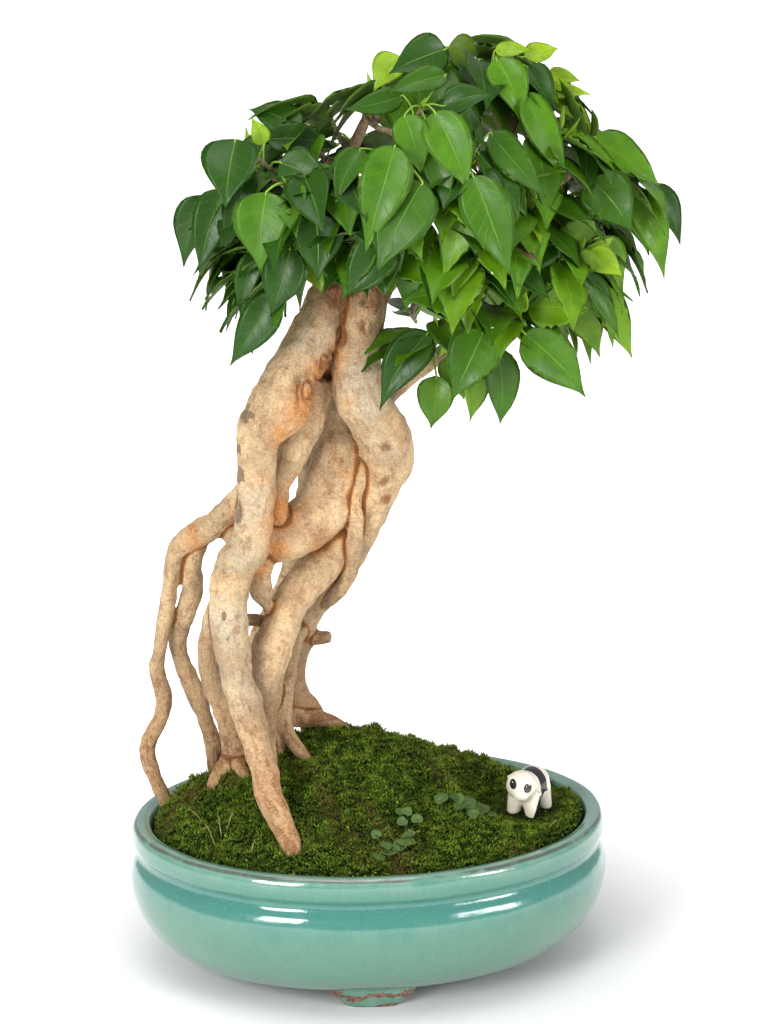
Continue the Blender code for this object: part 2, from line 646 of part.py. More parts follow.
def shoot_list():
    """Every shoot: name, twig start, twig end and its chosen leaves, if any."""
    found = [("leafy_shoot_" + name, planted(*start), planted(*end), leaves)
             for name, (start, end, leaves) in CHOSEN_SHOOTS.items()]
    found += [(f"leafy_shoot_{k:02d}", planted(*start), planted(*end), None)
              for k, (start, end) in enumerate(SPIRAL_SHOOTS, 1)]
    return found


def nearest_on_branches(point):
    """The point of the branch skeleton that is nearest, and the radius there."""
    best = None
    for stations in BRANCHES.values():
        for row in smooth_path(planted_rows(stations), 4):
            gap = (Vector(row[:3]) - point).length
            if best is None or gap < best[0]:
                best = (gap, Vector(row[:3]), row[3])
    return best[1], best[2]


def twig_carrier(start, end):
    """The thin branch that curves from the skeleton to just short of a shoot."""
    root, radius = nearest_on_branches(start)
    way = (end - start).normalized()
    stop = start - way * (1.8 * CLEARANCE)
    pull = stop - way * (0.5 * (stop - root).length)
    thick = min(radius * 0.8, CARRIER_RADIUS)
    rows = []
    for t in (0, 0.35, 0.7, 1):
        spot = root * (1 - t) ** 2 + pull * (2 * t * (1 - t)) + stop * t * t
        rows.append((*spot, thick + (TWIG_RADIUS - thick) * t))
    return tube(rows, sides=5)


def tree(shoots):
    """Trunks, roots and branches, grown together as one piece."""
    limbs = [planted_rows(rows) for rows in (*LIMBS.values(), *BRANCHES.values())]
    shapes = [tube(rows, limb_sides(rows)) for rows in limbs]
    shapes += [twig_carrier(start, end) for _, start, end, _ in shoots]
    return united("tree", shapes, "bark")


def spine(base, tip, face, share):
    """A point of the arched midrib line."""
    chord = tip - base
    return base + chord * share + face * (BLADE_ARCH * chord.length * share * (1 - share))


def leaf(stem, base, tip, width, normal):
    """A leaf: a thin lens, arched and slightly folded, whose stalk runs to a point in the twig."""
    way = (tip - base).normalized()
    side = way.cross(normal).normalized()
    face = side.cross(way)
    half = face * (LEAF_THICKNESS / 2)
    middle = spine(base, tip, face, 0.42)
    axis = ((base - stem).normalized() + way).normalized()
    across = axis.cross(normal).normalized() * STALK_RADIUS
    over = across.cross(axis)
    right, left = [], []
    for share, wide in ((0.28, 0.5), (0.62, 0.34)):
        edge = side * (wide * width)
        centre = spine(base, tip, face, share) + face * (BLADE_FOLD * wide * width)
        right.append(centre + edge)
        left.append(centre - edge)
    points = [base + across, *right, tip, *reversed(left), base - across,
              base + over, base - over, middle + half, middle - half, stem]
    above, below = (0, 1, 2, 3, 4, 5, 6, 7), (0, 1, 2, 3, 4, 5, 6, 8)
    faces = [(above[i], above[(i + 1) % 8], 9) for i in range(8)]
    faces += [(below[(i + 1) % 8], below[i], 10) for i in range(8)]
    faces += [(0, 7, 11), (7, 6, 11), (6, 8, 11), (8, 0, 11)]
    return points, faces


def surface_tree(shapes):
    """A search tree over the faces of (points, faces) shapes."""
    points, faces = [], []
    for shape_points, shape_faces in shapes:
        start = len(points)
        points += [tuple(p) for p in shape_points]
        faces += [tuple(start + i for i in face) for face in shape_faces]
    return BVHTree.FromPolygons(points, faces)


def crosses(shape, placed):
    own = surface_tree([shape])
    return any(own.overlap(other) for other in placed)


def in_crown(point):
    """Whether the point is inside one of the two rounded masses of the crown."""
    for centre, radii in CROWN:
        low = planted(*centre)
        reach = planted(*(c + r for c, r in zip(centre, radii))) - low
        if sum(((p - c) / r) ** 2 for p, c, r in zip(point, low, reach)) < 1:
            return True
    return False


def spiral_leaf(start, end, index, chance):
    """Where leaf number index sits by the spiral rule: stem, base, tip, width and facing."""
    way = (end - start).normalized()
    first = way.orthogonal().normalized()
    second = way.cross(first)
    turn = index * SPIRAL_ANGLE + chance.uniform(-0.5, 0.5)
    out = first * math.cos(turn) + second * math.sin(turn)
    stem = start.lerp(end, 0.2 + 0.72 * index / (SPIRAL_LEAVES - 1))
    share = 0.8 + 0.3 * chance.random()
    middle = planted(38, 0, 400)
    away = Vector((stem.x - middle.x, stem.y - middle.y, 0)).normalized()
    base = stem + (out * 0.8 + way * 0.5 + Vector((0, 0, 0.2))) * 0.011
    fall = Vector((0, 0, -1)) * chance.uniform(0.7, 1.5)
    reach = (out * 0.75 + away * 0.5 + way * 0.2 + fall).normalized()
    facing = (away + out * 0.5 + Vector((0, 0, 0.6))).normalized()
    return stem, base, base + reach * LEAF_LENGTH * share, LEAF_WIDTH * share, facing


def chosen_leaf(start, end, spec, place, chance, attempt):
    """A leaf at its chosen place, moved a little further with each attempt."""
    base_mm, reach_mm, width_mm = spec
    scale = LEAF_LENGTH / DRAWN_LEAF
    base = planted(*base_mm)
    spread = attempt * 0.0009
    base += Vector([chance.uniform(-spread, spread) for _ in range(3)])
    reach = Vector(reach_mm) * MM * scale
    reach += Vector([chance.uniform(-spread, spread) for _ in range(3)]) * 1.5
    stem = start.lerp(end, 0.2 + 0.72 * place)
    facing = Vector((-0.12, -1, 0.45))
    facing += Vector([chance.uniform(-0.25, 0.25) for _ in range(3)])
    return stem, base, base + reach, width_mm * MM * LEAF_WIDTH / 0.024, facing


def leafy_shoots(shoots, tree_object):
    """Each shoot: a twig with its leaves, turned until they clear everything placed before."""
    graph = bpy.context.evaluated_depsgraph_get()
    twigs = {}
    for name, start, end, _ in shoots:
        twigs[name] = tube([(*start, TWIG_RADIUS), (*end, 0.65 * TWIG_RADIUS)], sides=6)
    placed = {"tree": BVHTree.FromObject(tree_object, graph)}
    for name, shape in twigs.items():
        placed[name] = surface_tree([shape])
    for name, start, end, chosen in shoots:
        own = [twigs[name]]
        blades = []
        others = [bvh for key, bvh in placed.items() if key != name]
        count = SPIRAL_LEAVES if chosen is None else len(chosen) + EXTRA_LEAVES
        for index in range(count):
            chance = random.Random(f"{name} leaf {index}")
            for attempt in range(LEAF_TRIES):
                if chosen is None or index >= len(chosen):
                    spot = spiral_leaf(start, end, index % SPIRAL_LEAVES, chance)
                    if not (in_crown(spot[1]) and in_crown(spot[2])):
                        continue
                else:
                    place = index / max(len(chosen) - 1, 1)
                    spot = chosen_leaf(start, end, chosen[index], place, chance, attempt)
                shape = leaf(*spot)
                if not crosses(shape, others + blades):
                    own.append(shape)
                    blades.append(surface_tree([shape]))
                    break
        united(name, own, "leaf")
        placed[name] = surface_tree(own)


def panda():
    """A small glazed panda on all fours, facing the front left corner."""
    x, y = panda_spot()
    unit = PANDA_LENGTH / PANDA_UNITS
    ground = POT_HEIGHT + PAD_HEIGHT + 1.6 * CLEARANCE
    spin = Matrix.Rotation(PANDA_TURN, 3, "Z")

    def at(dx, dy, dz):
        return Vector((x, y, ground)) + spin @ Vector((dx, dy, dz)) * unit

    def part(place, radii, rings=5, sides=9):
        return ball(at(*place), [r * unit for r in radii], PANDA_TURN, rings, sides)

    shapes = [
        part((5, 0, 13.5), (11, 8.4, 8.8), 8, 14),
        part((-8.5, 0, 18), (7.6, 7.9, 7.5), 8, 14),
        part((-14.5, 0, 15.6), (3.4, 3.6, 2.9)),
        part((-7, -5.6, 24), (2.6, 2.6, 2.8)),
        part((-7, 5.6, 24), (2.6, 2.6, 2.8)),
        part((15.8, 0, 15.5), (2.2, 2.2, 2.2)),
    ]
    for dx, dy in ((-6, -4.8), (-6, 4.8), (10, -4.8), (10, 4.8)):
        shapes.append(tube([(*at(dx, dy, 0), 3.3 * unit), (*at(dx, dy, 4), 3.6 * unit),
                            (*at(dx * 0.9, dy * 0.9, 11), 3.8 * unit)], sides=9))
    united("panda_figurine", shapes, "china")


def weeds():
    """Low weeds: round leaves on short stalks, joined by a creeping stem."""
    for name, places in WEED_PLACES.items():
        path = []
        shapes = []
        for k, (along, deep) in enumerate(smooth_path(places, WEED_STEPS)):
            x, y = along * POT_LENGTH / 2, deep * POT_WIDTH / 2
            ground = Vector((x, y, mound(x, y) + WEED_LIFT))
            path.append((*ground, WEED_STEM))
            if k % WEED_STEPS == 0:
                crown = ground + Vector(WEED_RISE)
                shapes.append(tube([(*ground, WEED_STEM), (*crown, WEED_STEM)], sides=4))
                shapes.append(ball(crown, WEED_LEAF, WEED_TURN, 3, 7))
        united(name, [tube(path, sides=5)] + shapes, "weed")


def centre_on_origin():
    """Move everything sideways so that the overall box stands centred over the origin."""
    points = [Vector(corner) for obj in bpy.data.objects for corner in obj.bound_box]
    low = Vector([min(p[i] for p in points) for i in range(3)])
    high = Vector([max(p[i] for p in points) for i in range(3)])
    middle = (low + high) / 2
    for obj in bpy.data.objects:
        obj.data.transform(Matrix.Translation((-middle.x, -middle.y, 0)))


def main():
    for obj in list(bpy.data.objects):
        bpy.data.objects.remove(obj, do_unlink=True)
    pot()
    soil_and_moss()
    drain_screens()
    shoots = shoot_list()
    woody = tree(shoots)
    leafy_shoots(shoots, woody)
    panda()
    weeds()
    centre_on_origin()


main()
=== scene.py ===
"""Looks of the potted ficus bonsai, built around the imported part.

Metres, +Z up, the front towards -Y. Point lists are in millimetres from the pot's centre.
Every size that the part's own source sets is repeated here under the same name.
"""

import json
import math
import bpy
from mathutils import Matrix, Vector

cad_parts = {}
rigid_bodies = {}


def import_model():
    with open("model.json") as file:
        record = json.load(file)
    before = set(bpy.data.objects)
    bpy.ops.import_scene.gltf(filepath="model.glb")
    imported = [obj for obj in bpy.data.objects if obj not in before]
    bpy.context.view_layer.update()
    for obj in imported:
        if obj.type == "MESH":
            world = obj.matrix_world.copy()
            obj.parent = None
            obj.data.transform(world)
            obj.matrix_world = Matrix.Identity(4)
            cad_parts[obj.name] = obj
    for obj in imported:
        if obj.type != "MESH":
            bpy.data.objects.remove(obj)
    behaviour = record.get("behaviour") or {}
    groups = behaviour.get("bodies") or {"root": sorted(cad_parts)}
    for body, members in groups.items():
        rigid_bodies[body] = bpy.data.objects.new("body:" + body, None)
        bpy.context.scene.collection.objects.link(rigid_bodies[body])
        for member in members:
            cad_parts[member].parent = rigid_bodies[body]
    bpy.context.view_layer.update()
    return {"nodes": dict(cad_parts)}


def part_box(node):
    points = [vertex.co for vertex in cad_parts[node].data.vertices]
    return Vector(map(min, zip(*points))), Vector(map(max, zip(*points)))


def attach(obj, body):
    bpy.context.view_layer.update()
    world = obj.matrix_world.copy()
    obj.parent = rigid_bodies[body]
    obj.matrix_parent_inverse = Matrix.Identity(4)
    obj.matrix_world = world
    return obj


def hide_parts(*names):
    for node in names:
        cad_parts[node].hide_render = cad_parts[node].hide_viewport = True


bl_info = {
    "name": "Potted Ficus Bonsai",
    "version": (1, 0, 0),
    "blender": (4, 5, 0),
    "location": "View3D > Sidebar > Bonsai",
    "description": "Builds the glazed pot, moss, tree, leaves and figurine around the packed part",
    "category": "Object",
}

import bpy
import numpy as np
from bpy.props import FloatProperty, FloatVectorProperty, IntProperty, PointerProperty
from mathutils import Matrix, Vector

for startup_object in list(bpy.data.objects):
    bpy.data.objects.remove(startup_object, do_unlink=True)
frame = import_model()

MM = 0.001
TAU = 2 * math.pi

# Sizes repeated from the part
POT_LENGTH = 0.260
POT_WIDTH = 0.205
POT_HEIGHT = 0.083
RIM_WIDTH = 0.0105
WALL = 0.0065
FLOOR = 0.008
FOOT_HEIGHT = 0.009
FOOT_LENGTH = 0.046
FOOT_DEPTH = 0.012
FOOT_SIDE_INSET = 0.032
FOOT_END_INSET = 0.047
FOOT_TURN = math.radians(-6)
DRAIN_RADIUS = 0.007
DRAIN_SPACING = 0.090
MOUND_HEIGHT = 0.043
MOUND_OFFSET = 0.09
MOSS_DROP = 0.0045
MOSS_THICKNESS = 0.005
PAD_HEIGHT = 0.0004
PANDA_LENGTH = 0.0365
PANDA_UNITS = 33
PANDA_PLACE = (0.665, -0.17)
PANDA_TURN = math.radians(51)
CLEARANCE = 0.0003
TWIG_RADIUS = 0.0014
CARRIER_RADIUS = 0.0026
LEAF_THICKNESS = 0.0008
LEAF_LENGTH = 0.043
LEAF_WIDTH = 0.024
CROWN = (((60, 2, 420), (74, 78, 85)), ((36, 0, 392), (134, 108, 74)))
WEED_PLACES = {"weed_front": ((-0.02, -0.78), (0.07, -0.72), (0.11, -0.56), (0.19, -0.54)),
               "weed_side": ((0.29, -0.36), (0.38, -0.42), (0.44, -0.30), (0.53, -0.33))}

# Pot wall from the foot of the outside to the rim: inset from the rim's edge, height share
POT_OUTSIDE = (
    (36.0, 0.108), (26.0, 0.128), (17.0, 0.188), (8.0, 0.300), (2.2, 0.432), (-0.6, 0.556),
    (-1.2, 0.652), (0.2, 0.722), (3.2, 0.778), (3.4, 0.818), (0.8, 0.858), (0.0, 0.910),
    (0.4, 0.960), (2.6, 0.996),
)

# Roots and trunks, bottom or tip last: x, y, z and radius
LIMBS = {
    "front_root": (
        (-13, -2, 384, 9), (-18, -6, 373, 11), (-29, -12, 350, 12.5), (-41, -18, 333, 13.2),
        (-47, -22, 319, 15), (-58, -26, 305, 11.5), (-60, -28, 290, 9.8), (-61, -31, 268, 9.3),
        (-65, -34, 247, 10.2), (-74, -35, 232, 10.3), (-77, -36, 211, 10.2),
        (-76, -37, 194, 9.4), (-74, -38, 177, 9), (-70, -40, 162, 8.8), (-66, -43, 147, 8.2),
        (-62, -49, 130, 7.7), (-59, -56, 114, 7.2), (-53, -61, 101, 6.6), (-48, -65, 88, 5.6),
        (-45, -68, 70, 4.5),
    ),
    "right_trunk": (
        (8, 0, 382, 9.5), (0, -6, 370, 11.5), (-4, -8, 348, 12.6), (-5, -9, 334, 12.2),
        (-3, -10, 318, 12.8), (4, -8, 305, 13.2), (10, -5, 294, 13.6), (12.5, -3, 281, 12.4),
        (8.6, 0, 268, 10.6), (4.6, 4, 254, 9), (-0.6, 8, 239, 8.2), (-6.2, 12, 226, 7.8),
        (-13, 15, 214, 7.6), (-22.5, 18, 201, 7.2), (-30, 20, 189, 6.4), (-33, 22, 177, 5.8),
        (-36, 25, 165, 5.6), (-37, 28, 153, 5.8), (-35, 32, 141, 6.8), (-30, 36, 130, 7.8),
        (-24, 42, 112, 7), (-22, 46, 96, 5),
    ),
    "centre_root": (
        (-16, 8, 340, 9), (-16, 12, 318, 9), (-15, 12, 298, 10), (-13, 8, 286, 13.2),
        (-15, 4, 275, 14), (-20, 0, 264, 14), (-25, -5, 255, 13.8), (-35, -8, 248, 13),
        (-46, -12, 243, 12.3), (-59, -14, 242, 10.5), (-70, -14, 248, 7.6), (-74, -14, 254, 6),
    ),
    "inner_root": (
        (-26, -2, 326, 8), (-31, -7, 305, 8.2), (-37, -11, 294, 8), (-42, -13, 284, 7.4),
        (-47, -16, 273, 5.8), (-48, -16, 259, 5.2), (-47, -13, 246, 5),
    ),
    "lower_root": (
        (0, 8, 252, 7), (-12, 3, 240, 8.6), (-21, 0, 228, 9.4), (-32, -6, 218, 9.8),
        (-43, -12, 206, 9.7), (-49, -16, 194, 9.4), (-54, -19, 182, 10), (-56, -22, 171, 9),
        (-57, -22, 159, 6.6), (-56.5, -21, 148, 4.6), (-55.5, -19, 137, 3.6), (-54, -15, 100, 3),
    ),
    "slim_root": (
        (-1, -4, 280, 3.4), (-7, -7, 262, 4), (-6, -8, 250, 4.2), (-7, -7, 236, 4.3),
        (-8, -3, 223, 4.2), (-13, 5, 209, 3.8), (-20, 12, 200, 3.4),
    ),
    "behind_root": (
        (-82, -30, 214, 5), (-86, -24, 196, 5.4), (-86.5, -20, 183, 5.8), (-85, -15, 168, 6.2),
        (-81, -10, 156, 6.3), (-77, -5, 144, 6.3), (-73.5, 1, 131, 6.6), (-72, 8, 119, 7.4),
        (-73, 15, 106, 8.4), (-74, 21, 84, 6),
    ),
    "stump_root": (
        (-74, 8, 114, 6), (-80, 4, 107, 6), (-85, 3, 99, 4.6), (-89, 2, 84, 3),
    ),
    "toe_root": (
        (-72, 5, 116, 4.4), (-68, -8, 107, 3.4), (-64, -16, 98, 2.6), (-61, -21, 86, 2),
    ),
    "outer_aerial": (
        (-62, -22, 276, 6.4), (-73, -17, 262, 6.8), (-81, -12, 253, 7.2), (-88, -8, 248, 7.6),
        (-94, -6, 244, 7.2), (-101, -3, 237, 5.4), (-104.5, -1, 225, 4.5), (-106.5, 3, 209, 4.3),
        (-109, 6, 195, 4), (-112, 9, 177, 3.8), (-113.6, 11, 166, 4.3), (-110, 14, 149, 4.4),
        (-112, 16, 137, 4.3), (-118.5, 19, 124, 4.4), (-119.5, 21, 113, 4.2),
        (-115, 24, 97, 3.9), (-110, 26, 84, 3.7), (-106, 27, 68, 3),
    ),
    "inner_aerial": (
        (-90, -7, 247, 7), (-94, -1, 230, 5.4), (-93.5, 5, 212, 5.7), (-97, 9, 200, 5.3),
        (-101.5, 16, 183, 5), (-100.5, 19, 172, 4.8), (-97, 23, 160, 5), (-93, 27, 149, 5),
        (-89.5, 31, 138, 4.6), (-86, 36, 126, 4.4), (-83, 40, 115, 4.4), (-82, 44, 104, 4.3),
        (-81, 48, 92, 4), (-80, 51, 78, 3.2),
    ),
    "knee_root": (
        (-56, -16, 240, 7), (-59, -20, 226, 6.2), (-58, -20, 216, 5.6), (-55, -17, 208, 3),
        (-52, -14, 199, 2.4),
    ),
    "bridge_root": (
        (-86, -23, 198, 3.6), (-68, -9, 198, 3.6), (-57, -6, 196, 3.5), (-49, -10, 193, 3.6),
    ),
    "cut_stub": (
        (-33, 21, 180, 4), (-27, 20, 177.5, 3.6), (-18.5, 18, 178.5, 3.5),
    ),
    "thin_root": (
        (-36, 14, 184, 5), (-41, 8, 170, 5), (-44.5, 2, 152, 4.4), (-46, -4, 139, 4.5),
        (-43.5, -7, 130, 4), (-36, -9, 120, 3.2), (-30, -10, 112, 2.6), (-25, -10, 100, 2),
    ),
    "strand_root": (
        (-48, -4, 180, 3), (-49, -3, 160, 2.4), (-50, -2, 142, 2.4), (-48, 0, 126, 2.6),
        (-46, 4, 104, 2),
    ),
    "ridge_root": (
        (-38, 28, 130, 6), (-28, 30, 128, 5.4), (-18, 30, 125.5, 4), (-10, 30, 122, 2.4),
        (-2, 29, 114, 1.6),
    ),
    "back_root": (
        (-8, 8, 346, 9), (-16, 20, 314, 9), (-22, 28, 280, 8.6), (-26, 32, 250, 8.2),
        (-32, 35, 222, 8), (-40, 37, 196, 7.4), (-45, 43, 168, 7), (-46, 51, 138, 7.2),
        (-42, 58, 110, 7), (-40, 62, 86, 5),
    ),
    "back_strand": (
        (-40, 34, 206, 5), (-56, 34, 176, 4.6), (-62, 38, 146, 4.6), (-64, 42, 116, 5),
        (-64, 46, 84, 4),
    ),
}

# Branches of the crown, from the trunk outwards
BRANCHES = {
    "leader": (
        (3, -3, 372, 11), (14, 0, 390, 9), (28, 4, 412, 7.4), (40, 4, 436, 5.6),
        (48, 2, 458, 4), (56, -4, 476, 2.6),
    ),
    "left_leader": (
        (-14, -2, 374, 9), (-14, 4, 395, 7), (-12, 8, 418, 5), (-6, 10, 440, 3.6),
        (4, 8, 464, 2.6), (8, 8, 480, 2),
    ),
    "left_arm": (
        (-14, 0, 384, 6.4), (-22, -12, 402, 5), (-32, -22, 422, 3.8), (-45, -28, 438, 2.8),
    ),
    "left_low_arm": (
        (-20, -8, 398, 4), (-34, -6, 408, 3.4), (-56, -6, 422, 2.4),
    ),
    "lower_right_arm": (
        (6, 4, 312, 8), (18, 9, 320, 6.4), (34, 8, 331, 5), (50, -6, 345, 3.6),
        (58, -28, 357, 2.6),
    ),
    "right_mid_arm": (
        (22, 0, 402, 5), (48, -8, 396, 4), (74, -16, 390, 3.2), (92, -28, 389, 2.6),
    ),
    "right_high_arm": (
        (34, 4, 424, 5), (64, 8, 428, 4.2), (94, 4, 424, 3.2), (114, -4, 436, 2.6),
    ),
    "front_arm": (
        (24, 2, 408, 4.4), (22, -16, 432, 3.6), (21, -34, 458, 2.6),
    ),
    "back_left_arm": (
        (-12, 8, 410, 5), (-22, 30, 424, 4), (-32, 52, 432, 2.8),
    ),
    "back_arm": (
        (18, 4, 400, 5), (16, 30, 418, 4), (12, 58, 432, 2.8),
    ),
    "back_right_arm": (
        (36, 6, 430, 4.8), (54, 34, 438, 3.8), (74, 56, 430, 2.8),
    ),
    "back_low_arm": (
        (10, 0, 386, 5), (28, 24, 376, 4), (48, 40, 366, 2.8),
    ),
}


# ---------------------------------------------------------------- shapes

def box_middle(node):
    """The middle of a node's box, from the frame."""
    low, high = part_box(node)
    return np.array((low + high) / 2)


POT_MIDDLE = box_middle("pot") * (1, 1, 0)


def grid_quads(rows, columns, wrap):
    """Quads of a grid of points in rows; wrap joins the last column to the first."""
    i, j = np.meshgrid(np.arange(rows - 1), np.arange(columns if wrap else columns - 1),
                       indexing="ij")
    k = (j + 1) % columns
    return np.stack([i * columns + j, i * columns + k, (i + 1) * columns + k,
                     (i + 1) * columns + j], -1).reshape(-1, 4)


def shell(points, quads, triangles=None, values=None, slots=None):
    """One shape: points, quads, triangles, named values per point and a slot per face."""
    triangles = np.zeros((0, 3), int) if triangles is None else triangles
    return {"points": np.asarray(points, float).reshape(-1, 3), "quads": quads,
            "triangles": triangles, "values": values or {}, "slots": slots}


def joined(shells):
    """Several shells in one, with their values side by side."""
    starts = np.cumsum([0] + [len(s["points"]) for s in shells])[:-1]
    values = {key: np.concatenate([s["values"][key] for s in shells])
              for key in shells[0]["values"]}
    slots = None
    if shells[0]["slots"] is not None:
        cuts = [len(s["quads"]) for s in shells]
        slots = np.concatenate([s["slots"][:n] for s, n in zip(shells, cuts)]
                               + [s["slots"][n:] for s, n in zip(shells, cuts)])
    return shell(np.concatenate([s["points"] for s in shells]),
                 np.concatenate([s["quads"] + n for s, n in zip(shells, starts)]),
                 np.concatenate([s["triangles"] + n for s, n in zip(shells, starts)]),
                 values, slots)


def piece(name, shape, materials):
    """A smooth mesh object of one shell, at the origin, with a point attribute per value."""
    mesh = bpy.data.meshes.new(name)
    points, quads, triangles = shape["points"], shape["quads"], shape["triangles"]
    mesh.vertices.add(len(points))
    mesh.vertices.foreach_set("co", points.astype(np.float32).ravel())
    loops = np.concatenate([quads.ravel(), triangles.ravel()]).astype(np.int32)
    sizes = np.concatenate([np.full(len(quads), 4), np.full(len(triangles), 3)])
    starts = np.concatenate([[0], np.cumsum(sizes)[:-1]]).astype(np.int32)
    mesh.loops.add(len(loops))
    mesh.loops.foreach_set("vertex_index", loops)
    mesh.polygons.add(len(sizes))
    mesh.polygons.foreach_set("loop_start", starts)
    mesh.polygons.foreach_set("use_smooth", np.ones(len(sizes), bool))
    for material in materials:
        mesh.materials.append(material)
    if shape["slots"] is not None:
        mesh.polygons.foreach_set("material_index", np.asarray(shape["slots"], np.int32))
    mesh.update(calc_edges=True)
    for key, value in shape["values"].items():
        add_value(mesh, key, value)
    obj = bpy.data.objects.new(name, mesh)
    bpy.context.scene.collection.objects.link(obj)
    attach(obj, "root")
    return obj


def add_value(mesh, key, value):
    """A point attribute: one number, or three, per point."""
    value = np.asarray(value, np.float32)
    if value.ndim == 2:
        mesh.attributes.new(key, "FLOAT_VECTOR", "POINT").data.foreach_set("vector", value.ravel())
    else:
        mesh.attributes.new(key, "FLOAT", "POINT").data.foreach_set("value", value)


def mesh_points(mesh):
    """A mesh's points as an array."""
    found = np.empty(len(mesh.vertices) * 3, np.float32)
    mesh.vertices.foreach_get("co", found)
    return found.reshape(-1, 3).astype(float)


def mesh_normals(mesh):
    """A mesh's point normals as an array."""
    found = np.empty(len(mesh.vertices) * 3, np.float32)
    mesh.vertex_normals.foreach_get("vector", found)
    return found.reshape(-1, 3).astype(float)


def unit(rows):
    """Each row at length 1."""
    return rows / np.maximum(np.linalg.norm(rows, axis=-1, keepdims=True), 1e-12)


def waves(points, size, seed, count=14):
    """Smooth noise of about -1 to 1: a sum of sine waves in random directions of one size."""
    chance = np.random.default_rng(seed)
    ways = unit(chance.normal(size=(count, 3))) * chance.uniform(0.6, 1.5, (count, 1))
    phase = chance.uniform(0, TAU, count)
    return np.sin(points @ ways.T * TAU / size + phase).sum(-1) / math.sqrt(count)


def smooth_path(stations, steps):
    """Catmull-Rom rows through the stations, with steps between each pair."""
    rows = np.array(stations, float)
    padded = np.vstack([2 * rows[0] - rows[1], rows, 2 * rows[-1] - rows[-2]])
    share = np.arange(steps)[:, None] / steps
    parts = []
    for a, b, c, d in zip(padded, padded[1:], padded[2:], padded[3:]):
        parts.append(0.5 * (2 * b + (c - a) * share + (2 * a - 5 * b + 4 * c - d) * share ** 2
                            + (3 * b - 3 * c + d - a) * share ** 3))
    return np.vstack(parts + [rows[-1:]])


def end_fans(count, sides):
    """Triangles that close the first and last ring, whose poles are the last two points."""
    ring = np.arange(sides)
    after = (ring + 1) % sides
    last = (count - 1) * sides
    return np.vstack([
        np.stack([np.full(sides, count * sides), after, ring], -1),
        np.stack([last + ring, last + after, np.full(sides, count * sides + 1)], -1)])


def tube(rows, sides, wobble=None):
    """A round closed tube through rows of x, y, z and radius.

    Each ring is centre + radius (side cos a + up sin a), with side carried along the path, and
    a pole half a radius past each end. wobble(length, angle) scales the radius.
    """
    centres, radius = rows[:, :3], rows[:, 3]
    ways = unit(np.gradient(centres, axis=0))
    length = np.concatenate([[0], np.cumsum(np.linalg.norm(np.diff(centres, axis=0), axis=1))])
    side = unit(np.cross(ways[0], (0.31, 0.83, 0.46)))
    sides_at = np.empty_like(centres)
    for k, way in enumerate(ways):
        side = unit(side - way * (side @ way))
        sides_at[k] = side
    ups = np.cross(ways, sides_at)
    angle = np.arange(sides) * TAU / sides
    spread = radius[:, None] * np.ones(sides)
    if wobble:
        spread = spread * wobble(length[:, None], angle[None, :])
    rings = (centres[:, None] + spread[..., None] * (
        sides_at[:, None] * np.cos(angle)[None, :, None]
        + ups[:, None] * np.sin(angle)[None, :, None]))
    count = len(rows)
    poles = np.array([centres[0] - ways[0] * radius[0] * 0.5,
                      centres[-1] + ways[-1] * radius[-1] * 0.5])
    points = np.vstack([rings.reshape(-1, 3), poles])
    values = {"grain": np.vstack([
        np.stack([length[:, None] + 0 * spread, spread * np.cos(angle), spread * np.sin(angle)],
                 -1).reshape(-1, 3), [[0, 0, 0], [length[-1], 0, 0]]])}
    return shell(points, grid_quads(count, sides, True), end_fans(count, sides), values)


def domed(rings):
    """A closed shell through rings of points, with a pole at the middle of each end ring."""
    count, sides = rings.shape[:2]
    points = np.vstack([rings.reshape(-1, 3), [rings[0].mean(0)], [rings[-1].mean(0)]])
    return shell(points, grid_quads(count, sides, True), end_fans(count, sides))


def ball(centre, radii, rings=14, sides=20, turn=0.0):
    """An ellipsoid: radii times (sin p cos a, sin p sin a, -cos p), turned about Z."""
    polar = np.linspace(0, math.pi, rings + 2)[1:-1, None]
    angle = np.arange(sides)[None] * TAU / sides
    x = radii[0] * np.sin(polar) * np.cos(angle)
    y = radii[1] * np.sin(polar) * np.sin(angle)
    z = -radii[2] * np.cos(polar) * np.ones_like(angle)
    c, s = math.cos(turn), math.sin(turn)
    made = domed(np.stack([x * c - y * s, x * s + y * c, z], -1) + np.asarray(centre))
    made["points"][-2] = np.asarray(centre) - (0, 0, radii[2])
    made["points"][-1] = np.asarray(centre) + (0, 0, radii[2])
    return made


def remeshed(shape, voxel, smoothing):
    """The union of overlapping closed shells as one smooth mesh: voxel remesh, then smoothing."""
    obj = piece("remesh_work", shape, [])
    remesh = obj.modifiers.new("union", "REMESH")
    remesh.mode = "VOXEL"
    remesh.voxel_size = voxel
    if smoothing:
        smooth = obj.modifiers.new("smooth", "SMOOTH")
        smooth.factor = 0.5
        smooth.iterations = smoothing
    graph = bpy.context.evaluated_depsgraph_get()
    mesh = bpy.data.meshes.new_from_object(obj.evaluated_get(graph))
    bpy.data.objects.remove(obj)
    points = mesh_points(mesh)
    normals = mesh_normals(mesh)
    corners = np.empty(len(mesh.loops), np.int32)
    mesh.loops.foreach_get("vertex_index", corners)
    bpy.data.meshes.remove(mesh)
    return points, normals, corners.reshape(-1, 4)


def softened(points, quads, rounds):
    """Points after rounds of averaging with the points they share an edge with."""
    edges = np.concatenate([quads[:, [0, 1]], quads[:, [1, 2]], quads[:, [2, 3]], quads[:, [3, 0]]])
    edges = np.concatenate([edges, edges[:, ::-1]])
    share = 1 / np.bincount(edges[:, 0], minlength=len(points))
    for _ in range(rounds):
        points = np.stack([np.bincount(edges[:, 0], points[edges[:, 1], k], len(points)) * share
                           for k in range(3)], -1)
    return points


# ---------------------------------------------------------------- material tools

